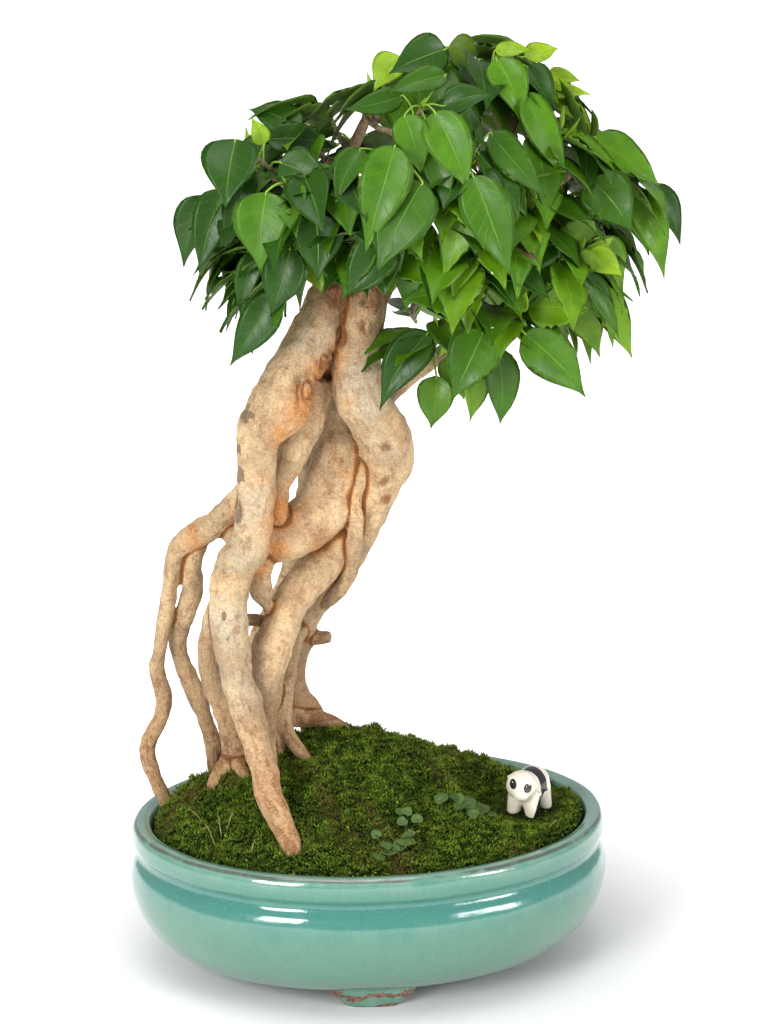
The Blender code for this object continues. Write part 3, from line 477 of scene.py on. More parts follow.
def node(tree, kind, inputs=None, **settings):
    """A shader node; each input is a number, a colour or another node's output."""
    made = tree.nodes.new(kind)
    for key, value in settings.items():
        setattr(made, key, value)
    for key, value in (inputs or {}).items():
        if isinstance(value, bpy.types.NodeSocket):
            tree.links.new(value, made.inputs[key])
        else:
            made.inputs[key].default_value = value
    return made


def calc(tree, operation, a, b=0.0):
    """The result of one Math node."""
    return node(tree, "ShaderNodeMath", {0: a, 1: b}, operation=operation).outputs[0]


def span(tree, value, low, high, to_low=0.0, to_high=1.0):
    """The value carried from low..high to to_low..to_high, held inside, smoothly."""
    return node(tree, "ShaderNodeMapRange", {
        "Value": value, "From Min": low, "From Max": high, "To Min": to_low, "To Max": to_high},
        interpolation_type="SMOOTHSTEP").outputs[0]


def times(colour, factor):
    """A colour made lighter or darker."""
    return [min(c * factor, 1) for c in colour]


def blend(tree, share, first, second):
    """A colour between two others, each with three or four numbers or another node's output."""
    colours = [c if isinstance(c, bpy.types.NodeSocket) or len(c) == 4 else (*c, 1)
               for c in (first, second)]
    return node(tree, "ShaderNodeMix", {0: share, 6: colours[0], 7: colours[1]},
                data_type="RGBA").outputs[2]


def scaled(tree, vector, factors):
    """A vector multiplied by three factors."""
    return node(tree, "ShaderNodeVectorMath", {0: vector, 1: factors},
                operation="MULTIPLY").outputs[0]


def noise(tree, vector, scale, detail=3.0, roughness=0.55):
    """A noise texture's value."""
    return node(tree, "ShaderNodeTexNoise", {
        "Vector": vector, "Scale": scale, "Detail": detail, "Roughness": roughness}).outputs[0]


def own(tree, key, kind="Vector"):
    """A point attribute of the piece itself."""
    return node(tree, "ShaderNodeAttribute", attribute_name=key).outputs[kind]


def parts_of(tree, vector):
    """The three parts of a vector."""
    return node(tree, "ShaderNodeSeparateXYZ", {0: vector}).outputs


def place(tree):
    """The object coordinates."""
    return node(tree, "ShaderNodeTexCoord").outputs["Object"]


def effect(name, inputs, outputs, build):
    """A shader node group, built once: named inputs with defaults, named outputs."""
    found = bpy.data.node_groups.get(name)
    if found:
        return found
    group = bpy.data.node_groups.new(name, "ShaderNodeTree")
    for key, (kind, default) in inputs.items():
        made = group.interface.new_socket(name=key, in_out="INPUT", socket_type=kind)
        if default is not None:
            made.default_value = default
    for key, kind in outputs.items():
        group.interface.new_socket(name=key, in_out="OUTPUT", socket_type=kind)
    entry = group.nodes.new("NodeGroupInput")
    leave = group.nodes.new("NodeGroupOutput")
    for key, value in build(group, entry.outputs).items():
        group.links.new(value, leave.inputs[key])
    return group


def mottle(tree, vector, scale, low=0.4, high=0.6):
    """Soft irregular patches: a mask of noise between two thresholds."""
    def build(group, given):
        value = noise(group, given["Vector"], given["Scale"], 4.0, 0.6)
        mask = node(group, "ShaderNodeMapRange", {
            "Value": value, "From Min": given["Low"], "From Max": given["High"]},
            interpolation_type="SMOOTHSTEP").outputs[0]
        return {"Mask": mask}
    group = effect("soft_mottle", {"Vector": ("NodeSocketVector", None),
                                   "Scale": ("NodeSocketFloat", 50.0),
                                   "Low": ("NodeSocketFloat", 0.4),
                                   "High": ("NodeSocketFloat", 0.6)},
                   {"Mask": "NodeSocketFloat"}, build)
    return node(tree, "ShaderNodeGroup", {"Vector": vector, "Scale": scale, "Low": low,
                                          "High": high}, node_tree=group).outputs["Mask"]


def flecks(tree, vector, scale, size=0.16, share=0.1):
    """Small round flecks: a mask near the middles of some of the cells of a Voronoi texture."""
    def build(group, given):
        cells = node(group, "ShaderNodeTexVoronoi", {"Vector": given["Vector"],
                                                     "Scale": given["Scale"]})
        near = calc(group, "LESS_THAN", cells.outputs["Distance"], given["Size"])
        parts = node(group, "ShaderNodeSeparateColor", {0: cells.outputs["Color"]})
        chosen = calc(group, "LESS_THAN", parts.outputs[0], given["Share"])
        return {"Mask": calc(group, "MULTIPLY", near, chosen)}
    group = effect("small_flecks", {"Vector": ("NodeSocketVector", None),
                                    "Scale": ("NodeSocketFloat", 300.0),
                                    "Size": ("NodeSocketFloat", 0.16),
                                    "Share": ("NodeSocketFloat", 0.1)},
                   {"Mask": "NodeSocketFloat"}, build)
    return node(tree, "ShaderNodeGroup", {"Vector": vector, "Scale": scale, "Size": size,
                                          "Share": share}, node_tree=group).outputs["Mask"]


def uneven(scale, low, high):
    """A roughness for surface(): patches of one scale, from low to high."""
    return lambda tree: span(tree, noise(tree, place(tree), scale), 0.3, 0.7, low, high)


def surface(name, colour, roughness, height=None, relief=0.0, **fixed):
    """A Principled material: colour and roughness from nodes, bump, and fixed socket values."""
    material = bpy.data.materials.new(name)
    material.use_nodes = True
    tree = material.node_tree
    shader = tree.nodes["Principled BSDF"]
    for key, value in fixed.items():
        shader.inputs[key.replace("_", " ").title().replace("Ior", "IOR")].default_value = value
    for key, make in (("Base Color", colour), ("Roughness", roughness)):
        tree.links.new(make(tree), shader.inputs[key])
    if height:
        bump = node(tree, "ShaderNodeBump", {"Height": height(tree), "Distance": relief,
                                             "Strength": 1.0})
        tree.links.new(bump.outputs[0], shader.inputs["Normal"])
    return material


# ---------------------------------------------------------------- settings

def colour_property(name, description, value):
    return FloatVectorProperty(name=name, description=description, default=value, size=3,
                               subtype="COLOR", min=0, max=1)


class PotSettings(bpy.types.PropertyGroup):
    """Glaze and clay of the pot."""
    glaze: colour_property("Glaze", "Colour of the belly", (0.088, 0.225, 0.155))
    deep_glaze: colour_property("Deep glaze", "Where the glaze runs thick", (0.020, 0.162, 0.140))
    pale_glaze: colour_property("Pale glaze", "On the rim and the inside", (0.150, 0.275, 0.215))
    clay: colour_property("Clay", "Bare clay at worn edges and feet", (0.045, 0.024, 0.016))
    ripple: FloatProperty(name="Ripple", description="Unevenness of the wall", default=0.00025,
                          subtype="DISTANCE", unit="LENGTH")
    around: IntProperty(name="Points around", description="Points round the oval", default=180)


class TreeSettings(bpy.types.PropertyGroup):
    """Bark colours and the fineness of the wood."""
    bark: colour_property("Bark", "Cream of the bark", (0.50, 0.355, 0.20))
    # shade_bark is the colour of the painted shade in hollows and creases, and also of the darker
    # bark texture, cracks and scars.
    shade_bark: colour_property("Shaded bark", "Brown of hollows", (0.20, 0.074, 0.019))
    orange_bark: colour_property("Orange bark", "Fresh bark at the bends", (0.56, 0.22, 0.055))
    grey_bark: colour_property("Grey bark", "Weathered grey-green bark", (0.47, 0.42, 0.30))
    lenticel: colour_property("Lenticels", "Dark pores and scars", (0.10, 0.06, 0.035))
    voxel: FloatProperty(name="Voxel", description="Fineness of the grown-together wood",
                         default=0.0014, subtype="DISTANCE", unit="LENGTH")


class LeafSettings(bpy.types.PropertyGroup):
    """Leaf colours."""
    deep_leaf: colour_property("Deep leaf", "Old leaves", (0.014, 0.054, 0.003))
    mid_leaf: colour_property("Middle leaf", "Grown leaves", (0.066, 0.180, 0.003))
    young_leaf: colour_property("Young leaf", "New leaves", (0.22, 0.36, 0.010))
    under_leaf: colour_property("Underside", "Undersides of leaves", (0.12, 0.21, 0.03))
    vein: colour_property("Vein", "Midrib and margin", (0.15, 0.31, 0.03))
    twig: colour_property("Twig", "Bark of the twigs", (0.20, 0.15, 0.08))


class MossSettings(bpy.types.PropertyGroup):
    """Moss colours and cover."""
    bright_moss: colour_property("Bright moss", "Tips", (0.36, 0.48, 0.045))
    mid_moss: colour_property("Middle moss", "Blades", (0.070, 0.155, 0.008))
    # moss_gap_shade is painted shade: the near-black of the gaps in the bed and of the blades'
    # bases.
    moss_gap_shade: colour_property("Dark moss", "Gaps", (0.004, 0.008, 0.0006))
    brown_moss: colour_property("Brown moss", "Dry patches", (0.12, 0.085, 0.022))
    blades: IntProperty(name="Blades", description="Moss blades in each of the two layers",
                        default=46000)


class FigureSettings(bpy.types.PropertyGroup):
    """China of the panda."""
    cream: colour_property("Cream", "Cream china", (0.76, 0.70, 0.58))
    black: colour_property("Black", "Black paint", (0.012, 0.012, 0.014))
    voxel: FloatProperty(name="Voxel", description="Fineness of the figure", default=0.00042,
                         subtype="DISTANCE", unit="LENGTH")


class StageSettings(bpy.types.PropertyGroup):
    """Floor and light."""
    floor: colour_property("Floor", "Pale floor", (0.70, 0.70, 0.70))
    key_power: FloatProperty(name="Key light", description="Left soft box", default=17.5,
                             unit="POWER")
    fill_power: FloatProperty(name="Fill light", description="Right soft box", default=11.0,
                              unit="POWER")
    top_power: FloatProperty(name="Top light", description="Soft box above", default=13.0,
                             unit="POWER")
    sky: FloatProperty(name="Sky", description="Strength of the white surround", default=0.55)


# ---------------------------------------------------------------- pot

def oval_rings(profile, around, grow=0.0):
    """Rings of the pot's oval for rows of inset and height, both in metres."""
    angle = np.arange(around) * TAU / around
    inset, height = profile[:, :1], profile[:, 1:2]
    x = (POT_LENGTH / 2 - inset + grow) * np.cos(angle)
    y = (POT_WIDTH / 2 - inset + grow) * np.sin(angle)
    return np.stack([x, y, height + 0 * x], -1)


def pot_profile():
    """The wall's outline, underside to inner floor, as inset and height in metres."""
    floor_top = POT_OUTSIDE[0][1] * POT_HEIGHT + FLOOR
    under = [(80.0, POT_OUTSIDE[0][1]), (60.0, POT_OUTSIDE[0][1])]
    outside = [(i * MM, share * POT_HEIGHT) for i, share in under + list(POT_OUTSIDE)]
    inside = [(RIM_WIDTH * 0.45, POT_HEIGHT), (RIM_WIDTH - 0.003, POT_HEIGHT - 0.0006),
              (RIM_WIDTH, POT_HEIGHT - 0.003), (RIM_WIDTH + 0.001, 0.80 * POT_HEIGHT),
              (WALL, 0.65 * POT_HEIGHT), (0.009 + WALL / 3, 0.42 * POT_HEIGHT),
              (0.026, floor_top + 0.004), (0.034, floor_top), (0.060, floor_top),
              (0.080, floor_top)]
    return smooth_path(outside + inside, 6), len(outside)


class BONSAI_OT_pot(bpy.types.Operator):
    """Make the glazed pot and its feet"""
    bl_idname = "bonsai.pot"
    bl_label = "Glazed pot"

    def execute(self, context):
        chosen = context.scene.bonsai_pot
        glaze = glaze_material(chosen)
        profile, outer = pot_profile()
        rings = oval_rings(profile, chosen.around)
        wall = domed(rings)
        along = np.repeat(np.arange(len(profile)) / 6, chosen.around)
        wall["values"]["station"] = np.append(along, [0, along[-1]]) / outer
        middle = np.array((0, 0, POT_HEIGHT / 2))
        out = unit((wall["points"] - middle) * (1, 1, 0))
        wall["points"] += out * (waves(wall["points"], 0.05, 3) * chosen.ripple)[:, None]
        wall["points"] += POT_MIDDLE
        pot = piece("pot_wall", wall, [glaze])
        holes = piece("drain_hole_cutter", joined([
            cylinder(POT_MIDDLE + (side * DRAIN_SPACING / 2, 0, 0), DRAIN_RADIUS, 4 * FLOOR)
            for side in (-1, 1)]), [glaze])
        cut = pot.modifiers.new("drain", "BOOLEAN")
        cut.operation = "DIFFERENCE"
        cut.solver = "EXACT"
        cut.object = holes
        graph = context.evaluated_depsgraph_get()
        whole = pot.data
        pot.data = bpy.data.meshes.new_from_object(pot.evaluated_get(graph))
        pot.modifiers.clear()
        bpy.data.meshes.remove(whole)
        pot.data.name = "pot_wall"
        bpy.data.objects.remove(holes)
        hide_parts("pot")
        feet = piece("pot_feet", joined([foot(quarter) for quarter in range(4)]),
                     [foot_material(chosen)])
        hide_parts("pot")
        return {"FINISHED"}


def cylinder(centre, radius, height, sides=40):
    """An upright closed cylinder about a point."""
    angle = np.arange(sides) * TAU / sides
    ring = np.stack([radius * np.cos(angle), radius * np.sin(angle), 0 * angle], -1)
    rings = np.stack([ring - (0, 0, height / 2), ring + (0, 0, height / 2)])
    return domed(rings + np.asarray(centre))


def foot(quarter):
    """A low foot: rounded oblongs of |x|^3 + |y|^3 = 1 that widen with height, on a flat sole."""
    turn = quarter * TAU / 4 + FOOT_TURN
    reach = (POT_WIDTH / 2 - FOOT_SIDE_INSET) if quarter % 2 else (POT_LENGTH / 2 - FOOT_END_INSET)
    share = np.array([0, 0.03, 0.12, 0.3, 0.5, 0.7, 0.85, 1.0, 1.3, 1.6])
    half_long = FOOT_LENGTH / 2 * (0.56 + 0.46 * np.minimum(share, 1) ** 0.75)
    half_deep = FOOT_DEPTH / 2 * (0.8 + 0.42 * np.minimum(share, 1) ** 0.8)
    half_long[0] *= 0.9
    half_deep[0] *= 0.85
    angle = np.arange(48) * TAU / 48
    power = 2 / 3
    across = np.sign(np.cos(angle)) * np.abs(np.cos(angle)) ** power
    along = np.sign(np.sin(angle)) * np.abs(np.sin(angle)) ** power
    x = reach + half_deep[:, None] * across
    y = half_long[:, None] * along
    z = share[:, None] * FOOT_HEIGHT + 0 * x
    c, s = math.cos(turn), math.sin(turn)
    return domed(np.stack([x * c - y * s, x * s + y * c, z], -1) + POT_MIDDLE)


def glaze_material(chosen):
    """Teal glaze: thick and blue-green in the groove, pale on the rim, worn to clay at its edge."""
    def parts(tree):
        spot = place(tree)
        station = own(tree, "station", "Fac")
        drip = noise(tree, scaled(tree, spot, (1, 1, 0.35)), 42.0, 3.0)
        fine = noise(tree, spot, 160.0, 4.0)
        shifted = calc(tree, "ADD", station, span(tree, drip, 0.3, 0.7, -0.035, 0.035))
        return spot, station, drip, fine, shifted

    def colour(tree):
        spot, station, drip, fine, shifted = parts(tree)
        thick = calc(tree, "MULTIPLY", span(tree, shifted, 0.43, 0.56),
                     span(tree, shifted, 0.66, 0.74, 1.0, 0.45))
        thick = calc(tree, "MULTIPLY", thick, span(tree, shifted, 0.90, 0.80))
        body = blend(tree, span(tree, shifted, 0.20, 0.55), times(chosen.glaze, 0.92),
                     chosen.glaze)
        body = blend(tree, calc(tree, "MULTIPLY", thick, 0.75), body, chosen.deep_glaze)
        body = blend(tree, span(tree, shifted, 0.84, 0.95), body, chosen.pale_glaze)
        body = blend(tree, span(tree, fine, 0.35, 0.75, 0.0, 0.22), body, chosen.deep_glaze)
        pale = calc(tree, "MULTIPLY", mottle(tree, spot, 700.0, 0.5, 0.8), 0.4)
        body = blend(tree, pale, body, chosen.pale_glaze)
        wander = calc(tree, "ADD", station, span(tree, drip, 0.3, 0.7, -0.006, 0.006))
        edge = calc(tree, "MULTIPLY", span(tree, wander, 0.895, 0.912),
                    span(tree, wander, 0.952, 0.934))
        thin = mottle(tree, scaled(tree, spot, (1, 1, 2)), 45.0, 0.3, 0.55)
        worn = calc(tree, "MULTIPLY", edge, span(tree, thin, 0.0, 1.0, 0.15, 0.75))
        worn = calc(tree, "MULTIPLY", worn, span(tree, fine, 0.25, 0.5, 0.7, 1.0))
        body = blend(tree, worn, body, chosen.clay)
        holes = flecks(tree, spot, 95.0, 0.05, 0.06)
        return blend(tree, holes, body, (0.03, 0.02, 0.015, 1))

    def height(tree):
        spot = place(tree)
        fine = noise(tree, spot, 260.0, 2.0)
        slow = noise(tree, spot, 38.0, 1.0)
        pits = flecks(tree, spot, 95.0, 0.06, 0.06)
        return calc(tree, "SUBTRACT", calc(tree, "ADD", calc(tree, "MULTIPLY", fine, 0.08), slow),
                    calc(tree, "MULTIPLY", pits, 0.5))

    return surface("glaze", colour, uneven(120.0, 0.11, 0.22), height, 0.0012, coat_weight=0.6,
                   coat_roughness=0.03, specular_ior_level=0.6)


def foot_material(chosen):
    """Glaze that runs down over a foot and leaves bare clay in a slanting swath."""
    def colour(tree):
        spot = place(tree)
        across = noise(tree, scaled(tree, spot, (1, 1, 2.5)), 60.0, 3.0)
        level = calc(tree, "MULTIPLY", parts_of(tree, spot)[2], 1 / FOOT_HEIGHT)
        level = calc(tree, "ADD", level,
                     span(tree, across, 0.3, 0.7, -0.35, 0.35))
        bare = calc(tree, "MULTIPLY", span(tree, level, 0.45, 0.55), span(tree, level, 0.98, 0.88))
        sole = span(tree, level, 0.12, 0.02)
        clay = blend(tree, mottle(tree, spot, 500.0), times(chosen.clay, 5),
                     times(chosen.clay, 2.4))
        body = blend(tree, mottle(tree, spot, 90.0, 0.3, 0.7), chosen.glaze,
                     chosen.pale_glaze)
        return blend(tree, calc(tree, "MAXIMUM", bare, sole), body, clay)

    def roughness(tree):
        return span(tree, noise(tree, place(tree), 90.0), 0.35, 0.65, 0.12, 0.35)

    def height(tree):
        return noise(tree, place(tree), 400.0, 3.0)

    return surface("foot_glaze", colour, roughness, height, 0.0003)


# ---------------------------------------------------------------- moss and soil

def panda_spot():
    """The middle of the panda's place, across and back from the pot's middle."""
    return np.array((PANDA_PLACE[0] * POT_LENGTH / 2, PANDA_PLACE[1] * POT_WIDTH / 2))


def mound(x, y):
    """Height of the moss: a dome (1 - r^2)^1.1 on the oval, leaning back and left, with a flat
    pad under the panda."""
    across = x / (POT_LENGTH / 2 - RIM_WIDTH)
    deep = y / (POT_WIDTH / 2 - RIM_WIDTH)
    across = across + MOUND_OFFSET * (1 - np.minimum(across ** 2 + deep ** 2, 1))
    reach = np.minimum(across ** 2 + deep ** 2, 1)
    lean = 1 + 0.25 * deep - 0.5 * np.maximum(across, 0)
    height = POT_HEIGHT - MOSS_DROP + MOUND_HEIGHT * (1 - reach) ** 1.1 * lean
    near = np.hypot(x - panda_spot()[0], y - panda_spot()[1]) / PANDA_LENGTH
    share = np.clip(2.2 - 1.8 * near, 0, 1)
    return height + (POT_HEIGHT + PAD_HEIGHT - height) * share


def cushions(x, y):
    """How far the moss stands above the mound: lumps of two sizes, none at the panda's feet."""
    flat = np.stack([x, y, 0 * x], -1)
    near = np.hypot(x - panda_spot()[0], y - panda_spot()[1]) / PANDA_LENGTH
    calm = np.clip((near - 0.45) * 3, 0, 1)
    lumps = 0.0008 * waves(flat, 0.030, 11) + 0.0026 * np.abs(waves(flat, 0.017, 12))
    lumps += 0.0015 * np.abs(waves(flat, 0.0075, 13))
    return (lumps - 0.0012) * calm - 0.0002


def moss_edge():
    """Half length and half width of the moss at the wall."""
    inset = RIM_WIDTH + 0.001 + CLEARANCE
    return np.array((POT_LENGTH / 2 - inset, POT_WIDTH / 2 - inset))


class BONSAI_OT_moss(bpy.types.Operator):
    """Make the moss bed and its two layers of blades"""
    bl_idname = "bonsai.moss"
    bl_label = "Moss"

    def execute(self, context):
        chosen = context.scene.bonsai_moss
        bed = piece("moss_bed", moss_bed(), [moss_bed_material(chosen)])
        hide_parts("moss_carpet")
        blade = blade_material(chosen)
        for name, seed, length in (("moss_blades_low", 21, 0.0024),
                                   ("moss_blades_tall", 22, 0.0036)):
            count = chosen.blades // 1
            blades = piece(name, moss_blades(count, seed, length), [blade])
        strays = piece("grass_strays", grass_strays(), [stray_material()])
        return {"FINISHED"}


def moss_bed():
    """Rings of the oval from near the middle to the edge at the cushions' height, then back
    along the underside."""
    shares = np.linspace(0.01, 1, 90)
    angle = np.arange(240) * TAU / 240
    edge = moss_edge()
    x = shares[:, None] * edge[0] * np.cos(angle)
    y = shares[:, None] * edge[1] * np.sin(angle)
    fade = np.clip((1 - shares) * 12, 0, 1)[:, None]
    top = np.stack([x, y, mound(x, y) + cushions(x, y) * fade], -1)
    low = top[::-6] * (1, 1, 0)
    low[..., 2] = mound(low[..., 0], low[..., 1]) - MOSS_THICKNESS
    return domed(np.concatenate([top, low])[::-1] + POT_MIDDLE)


def limb_samples():
    """Every limb as dense rows: x, y, z, radius, length along, limb number."""
    found = []
    for number, stations in enumerate((*LIMBS.values(), *BRANCHES.values())):
        rows = smooth_path(limb_rows(stations), 8)
        steps = np.linalg.norm(np.diff(rows[:, :3], axis=0), axis=1)
        length = np.concatenate([[0], np.cumsum(steps)])
        found.append(np.column_stack([rows, length, np.full(len(rows), number)]))
    return np.vstack(found)


def limb_rows(stations):
    """A limb's stations in metres, with the pot's place added."""
    rows = np.array(stations, float) * MM
    rows[:, :3] += POT_MIDDLE
    return rows


def clear_of_roots(points, gap):
    """Whether each point is at least gap outside every limb."""
    samples = limb_samples()
    samples = samples[samples[:, 2] < POT_HEIGHT + MOUND_HEIGHT + 0.02]
    clear = np.empty(len(points), bool)
    for start in range(0, len(points), 5000):
        part = points[start:start + 5000]
        far = np.linalg.norm(part[:, None] - samples[None, :, :3], axis=2) - samples[:, 3]
        clear[start:start + 5000] = far.min(1) > gap
    return clear


def moss_blades(count, seed, length):
    """Thin three-sided spikes that stand out of the moss in star-like tufts.

    Tufts are scattered evenly over the oval by the square root rule, six spikes to a tuft, and
    each spike leans away from its tuft's middle.
    """
    chance = np.random.default_rng(seed)
    tufts = count // 6
    share = np.sqrt(chance.random(tufts)) * 0.992
    angle = chance.random(tufts) * TAU
    edge = moss_edge()
    middle = np.stack([share * edge[0] * np.cos(angle), share * edge[1] * np.sin(angle)], -1)
    spin = chance.random((tufts, 1)) * TAU + np.arange(6) * TAU / 6
    lean = chance.uniform(0.35, 1.25, (tufts, 6))
    way = np.stack([np.cos(spin) * lean, np.sin(spin) * lean, np.ones_like(lean)], -1)
    way += chance.normal(0, 0.18, way.shape)
    far = chance.uniform(0, 0.0007, (tufts, 6))
    x = middle[:, :1] + np.cos(spin) * far
    y = middle[:, 1:] + np.sin(spin) * far
    base = np.stack([x, y, mound(x, y) + cushions(x, y) - 0.0004], -1).reshape(-1, 3)
    way = unit(way.reshape(-1, 3))
    size = (length * chance.uniform(0.55, 1.25, (tufts, 1)) * chance.uniform(0.7, 1.15, (tufts, 6)))
    size = size.reshape(-1)
    near = np.hypot(base[:, 0] - panda_spot()[0], base[:, 1] - panda_spot()[1]) / PANDA_LENGTH
    size *= np.clip((near - 0.12) * 2.4, 0.25, 1)
    # Painted light and shade: tufts on top of the cushions get a brighter tint, tufts low between
    # them a darker one, mixed with a random tone.
    painted_cushion_light = np.clip(cushions(middle[:, 0], middle[:, 1]) / 0.0030 + 0.3, 0, 1)
    tint = np.repeat(np.clip(0.8 * painted_cushion_light + 0.6 * chance.random(tufts) ** 2 - 0.12, 0, 1), 6)
    tip = base + way * size[:, None]
    ring = (tip[:, 0] / edge[0]) ** 2 + (tip[:, 1] / edge[1]) ** 2
    keep = clear_of_roots(base + POT_MIDDLE, 0.0002) & (ring < 1.0)
    base, way, size, tint = base[keep], way[keep], size[keep], tint[keep]
    side = unit(np.cross(way, (0.2, 0.4, 1.0)))
    other = np.cross(way, side)
    wide = (0.16 + 0.05 * tint)[:, None] * size[:, None]
    corners = np.stack([base + side * wide, base - side * wide * 0.5 + other * wide * 0.4,
                        base - side * wide * 0.5 - other * wide * 0.4,
                        base + way * size[:, None]], 1) + POT_MIDDLE
    index = np.arange(len(base))[:, None, None] * 4
    triangles = np.array([[0, 1, 3], [1, 2, 3], [2, 0, 3], [0, 2, 1]])[None] + index
    flat = np.stack([base[:, 0], base[:, 1], 0 * base[:, 0]], -1)
    dry = np.clip(waves(flat, 0.06, 31) * 0.5 + waves(flat, 0.02, 32) * 0.3 - 0.25, 0, 1)
    # tone: that tint, the dryness, and the tip share (1 at the tip) along which the blade material
    # paints shade at the base.
    tone = np.stack([tint, dry, np.zeros(len(base))], -1)
    tone = np.repeat(tone[:, None], 4, 1)
    tone[:, 3, 2] = 1
    return shell(corners.reshape(-1, 3), np.zeros((0, 4), int), triangles.reshape(-1, 3),
                 {"tone": tone.reshape(-1, 3)})


def grass_strays():
    """A few dry grass blades that stand out of the moss: thin bent tubes."""
    chance = np.random.default_rng(41)
    strands = []
    for x, y, lean, tall in ((-88, -46, -5, 11), (-84, -44, -2, 13), (-81, -42, 4, 12),
                             (-92, -30, -8, 9), (-70, -62, 3, 8), (10, 30, -3, 7),
                             (18, 24, 2, 6), (-104, 12, -6, 9), (92, -44, 5, 6)):
        x, y = x * MM, y * MM
        foot_point = np.array((x, y, float(mound(np.array(x), np.array(y)))))
        bend = np.array((lean, chance.uniform(-3, 3), tall)) * MM
        rows = [(*foot_point, 0.00035), (*(foot_point + bend * (0.45, 0.45, 0.6)), 0.0003),
                (*(foot_point + bend * (0.8, 0.8, 0.9)), 0.0002), (*(foot_point + bend), 0.00008)]
        path = smooth_path(rows, 3)
        path[:, :3] += POT_MIDDLE
        strands.append(tube(path, 5))
    return joined(strands)


def moss_bed_material(chosen):
    """Ground under the moss blades: near-black painted shade in the gaps, green lumps and dry
    patches.
    """
    def colour(tree):
        spot = place(tree)
        body = blend(tree, mottle(tree, spot, 420.0, 0.46, 0.7), chosen.moss_gap_shade,
                     chosen.mid_moss)
        body = blend(tree, mottle(tree, spot, 700.0, 0.56, 0.7), body, chosen.bright_moss)
        return blend(tree, mottle(tree, spot, 28.0, 0.56, 0.72), body, chosen.brown_moss)

    def height(tree):
        spot = place(tree)
        return calc(tree, "ADD", noise(tree, spot, 380.0, 5.0, 0.7), noise(tree, spot, 1100.0, 3.0))

    return surface("moss_ground", colour, uneven(300.0, 0.75, 0.98), height, 0.0012,
                   specular_ior_level=0.1)


def blade_material(chosen):
    """Moss blades: painted shade at the base and bright at the tip, with more painted shade for
    tufts low between the cushions, dry in patches.
    """
    def colour(tree):
        tint, dry, tip = parts_of(tree, own(tree, "tone"))
        # Painted shade: near-black at each blade's base, darker still for a low tint.
        low = blend(tree, span(tree, tint, 0.3, 1.6), chosen.moss_gap_shade, chosen.mid_moss)
        high = blend(tree, tint, chosen.mid_moss, chosen.bright_moss)
        body = blend(tree, span(tree, tip, 0.4, 1.0), low, high)
        body = blend(tree, mottle(tree, place(tree), 150.0, 0.5, 0.66), body,
                     times(chosen.mid_moss, 0.4))
        return blend(tree, calc(tree, "MULTIPLY", dry, 0.75), body, chosen.brown_moss)

    return surface("moss_blade", colour, uneven(300.0, 0.5, 0.75), specular_ior_level=0.12)


def stray_material():
    """Dry straw-coloured grass."""
    def colour(tree):
        return blend(tree, mottle(tree, place(tree), 120.0), (0.30, 0.24, 0.09, 1),
                     (0.12, 0.17, 0.03, 1))

    return surface("dry_grass", colour, uneven(500.0, 0.5, 0.7))


class BONSAI_OT_bedding(bpy.types.Operator):
    """Finish the soil and the drain screens that come from the part"""
    bl_idname = "bonsai.bedding"
    bl_label = "Soil and drain screens"

    def execute(self, context):
        soil = frame["nodes"]["soil"]
        screens = [frame["nodes"]["drain_screen_left"], frame["nodes"]["drain_screen_right"]]
        for obj, material in [(soil, soil_material())] + [(s, mesh_material()) for s in screens]:
            for slot in obj.material_slots:
                slot.material = material
        return {"FINISHED"}


def soil_material():
    """Dark soil with pale grit."""
    def colour(tree):
        spot = place(tree)
        body = blend(tree, mottle(tree, spot, 350.0, 0.35, 0.65), (0.02, 0.013, 0.008, 1),
                     (0.09, 0.055, 0.03, 1))
        return blend(tree, flecks(tree, spot, 260.0, 0.25, 0.12), body, (0.30, 0.24, 0.17, 1))

    def height(tree):
        return noise(tree, place(tree), 300.0, 6.0, 0.7)

    return surface("gritty_soil", colour, uneven(400.0, 0.8, 1.0), height, 0.002)


def mesh_material():
    """Black plastic with a faint woven grid."""
    def colour(tree):
        return blend(tree, mottle(tree, place(tree), 600.0), (0.012, 0.012, 0.012, 1),
                     (0.035, 0.035, 0.035, 1))

    def height(tree):
        return node(tree, "ShaderNodeTexVoronoi", {"Vector": place(tree), "Scale": 900.0},
                    distance="CHEBYCHEV").outputs["Distance"]

    return surface("screen_plastic", colour, uneven(500.0, 0.4, 0.6), height, 0.0002)


# ---------------------------------------------------------------- tree

EARTH_BARK = (0.43, 0.25, 0.125)
EARTHY = (0.095, 0.20)      # earth-brown below the first height, clean above the second
# Bark marks: middle in millimetres, radius and strength
ORANGE_BARK = (
    (-20, -28, 334, 14, 1.0), (-34, -34, 318, 15, 0.8), (-46, -38, 304, 11, 0.6),
    (-48, -30, 262, 14, 1.0), (-40, -28, 272, 9, 0.7), (-52, -28, 240, 10, 0.9),
    (-60, -30, 232, 8, 0.9), (-24, -20, 240, 12, 0.6), (-44, -28, 214, 10, 0.4),
    (-12, -14, 272, 12, 0.25), (14, -14, 300, 12, 0.35), (-8, -4, 262, 9, 0.5),
    (-96, -14, 244, 8, 0.45), (-72, -24, 262, 9, 0.35), (-22, 20, 132, 14, 0.5),
    (-54, -64, 120, 13, 0.5), (-48, -66, 96, 11, 0.6), (-38, -4, 132, 10, 0.3),
    (-2, -20, 352, 9, 0.25), (-58, -36, 282, 8, 0.35),
)
GREY_BARK = (
    (-8, -22, 330, 15, 1.0), (0, -22, 318, 14, 0.9), (8, -16, 296, 12, 0.5),
    (-64, -42, 268, 18, 0.8), (-68, -44, 244, 14, 0.7), (-30, -26, 352, 12, 0.6),
    (-78, -44, 208, 17, 0.9), (-20, -14, 296, 12, 0.3), (-72, -48, 170, 17, 0.8),
)
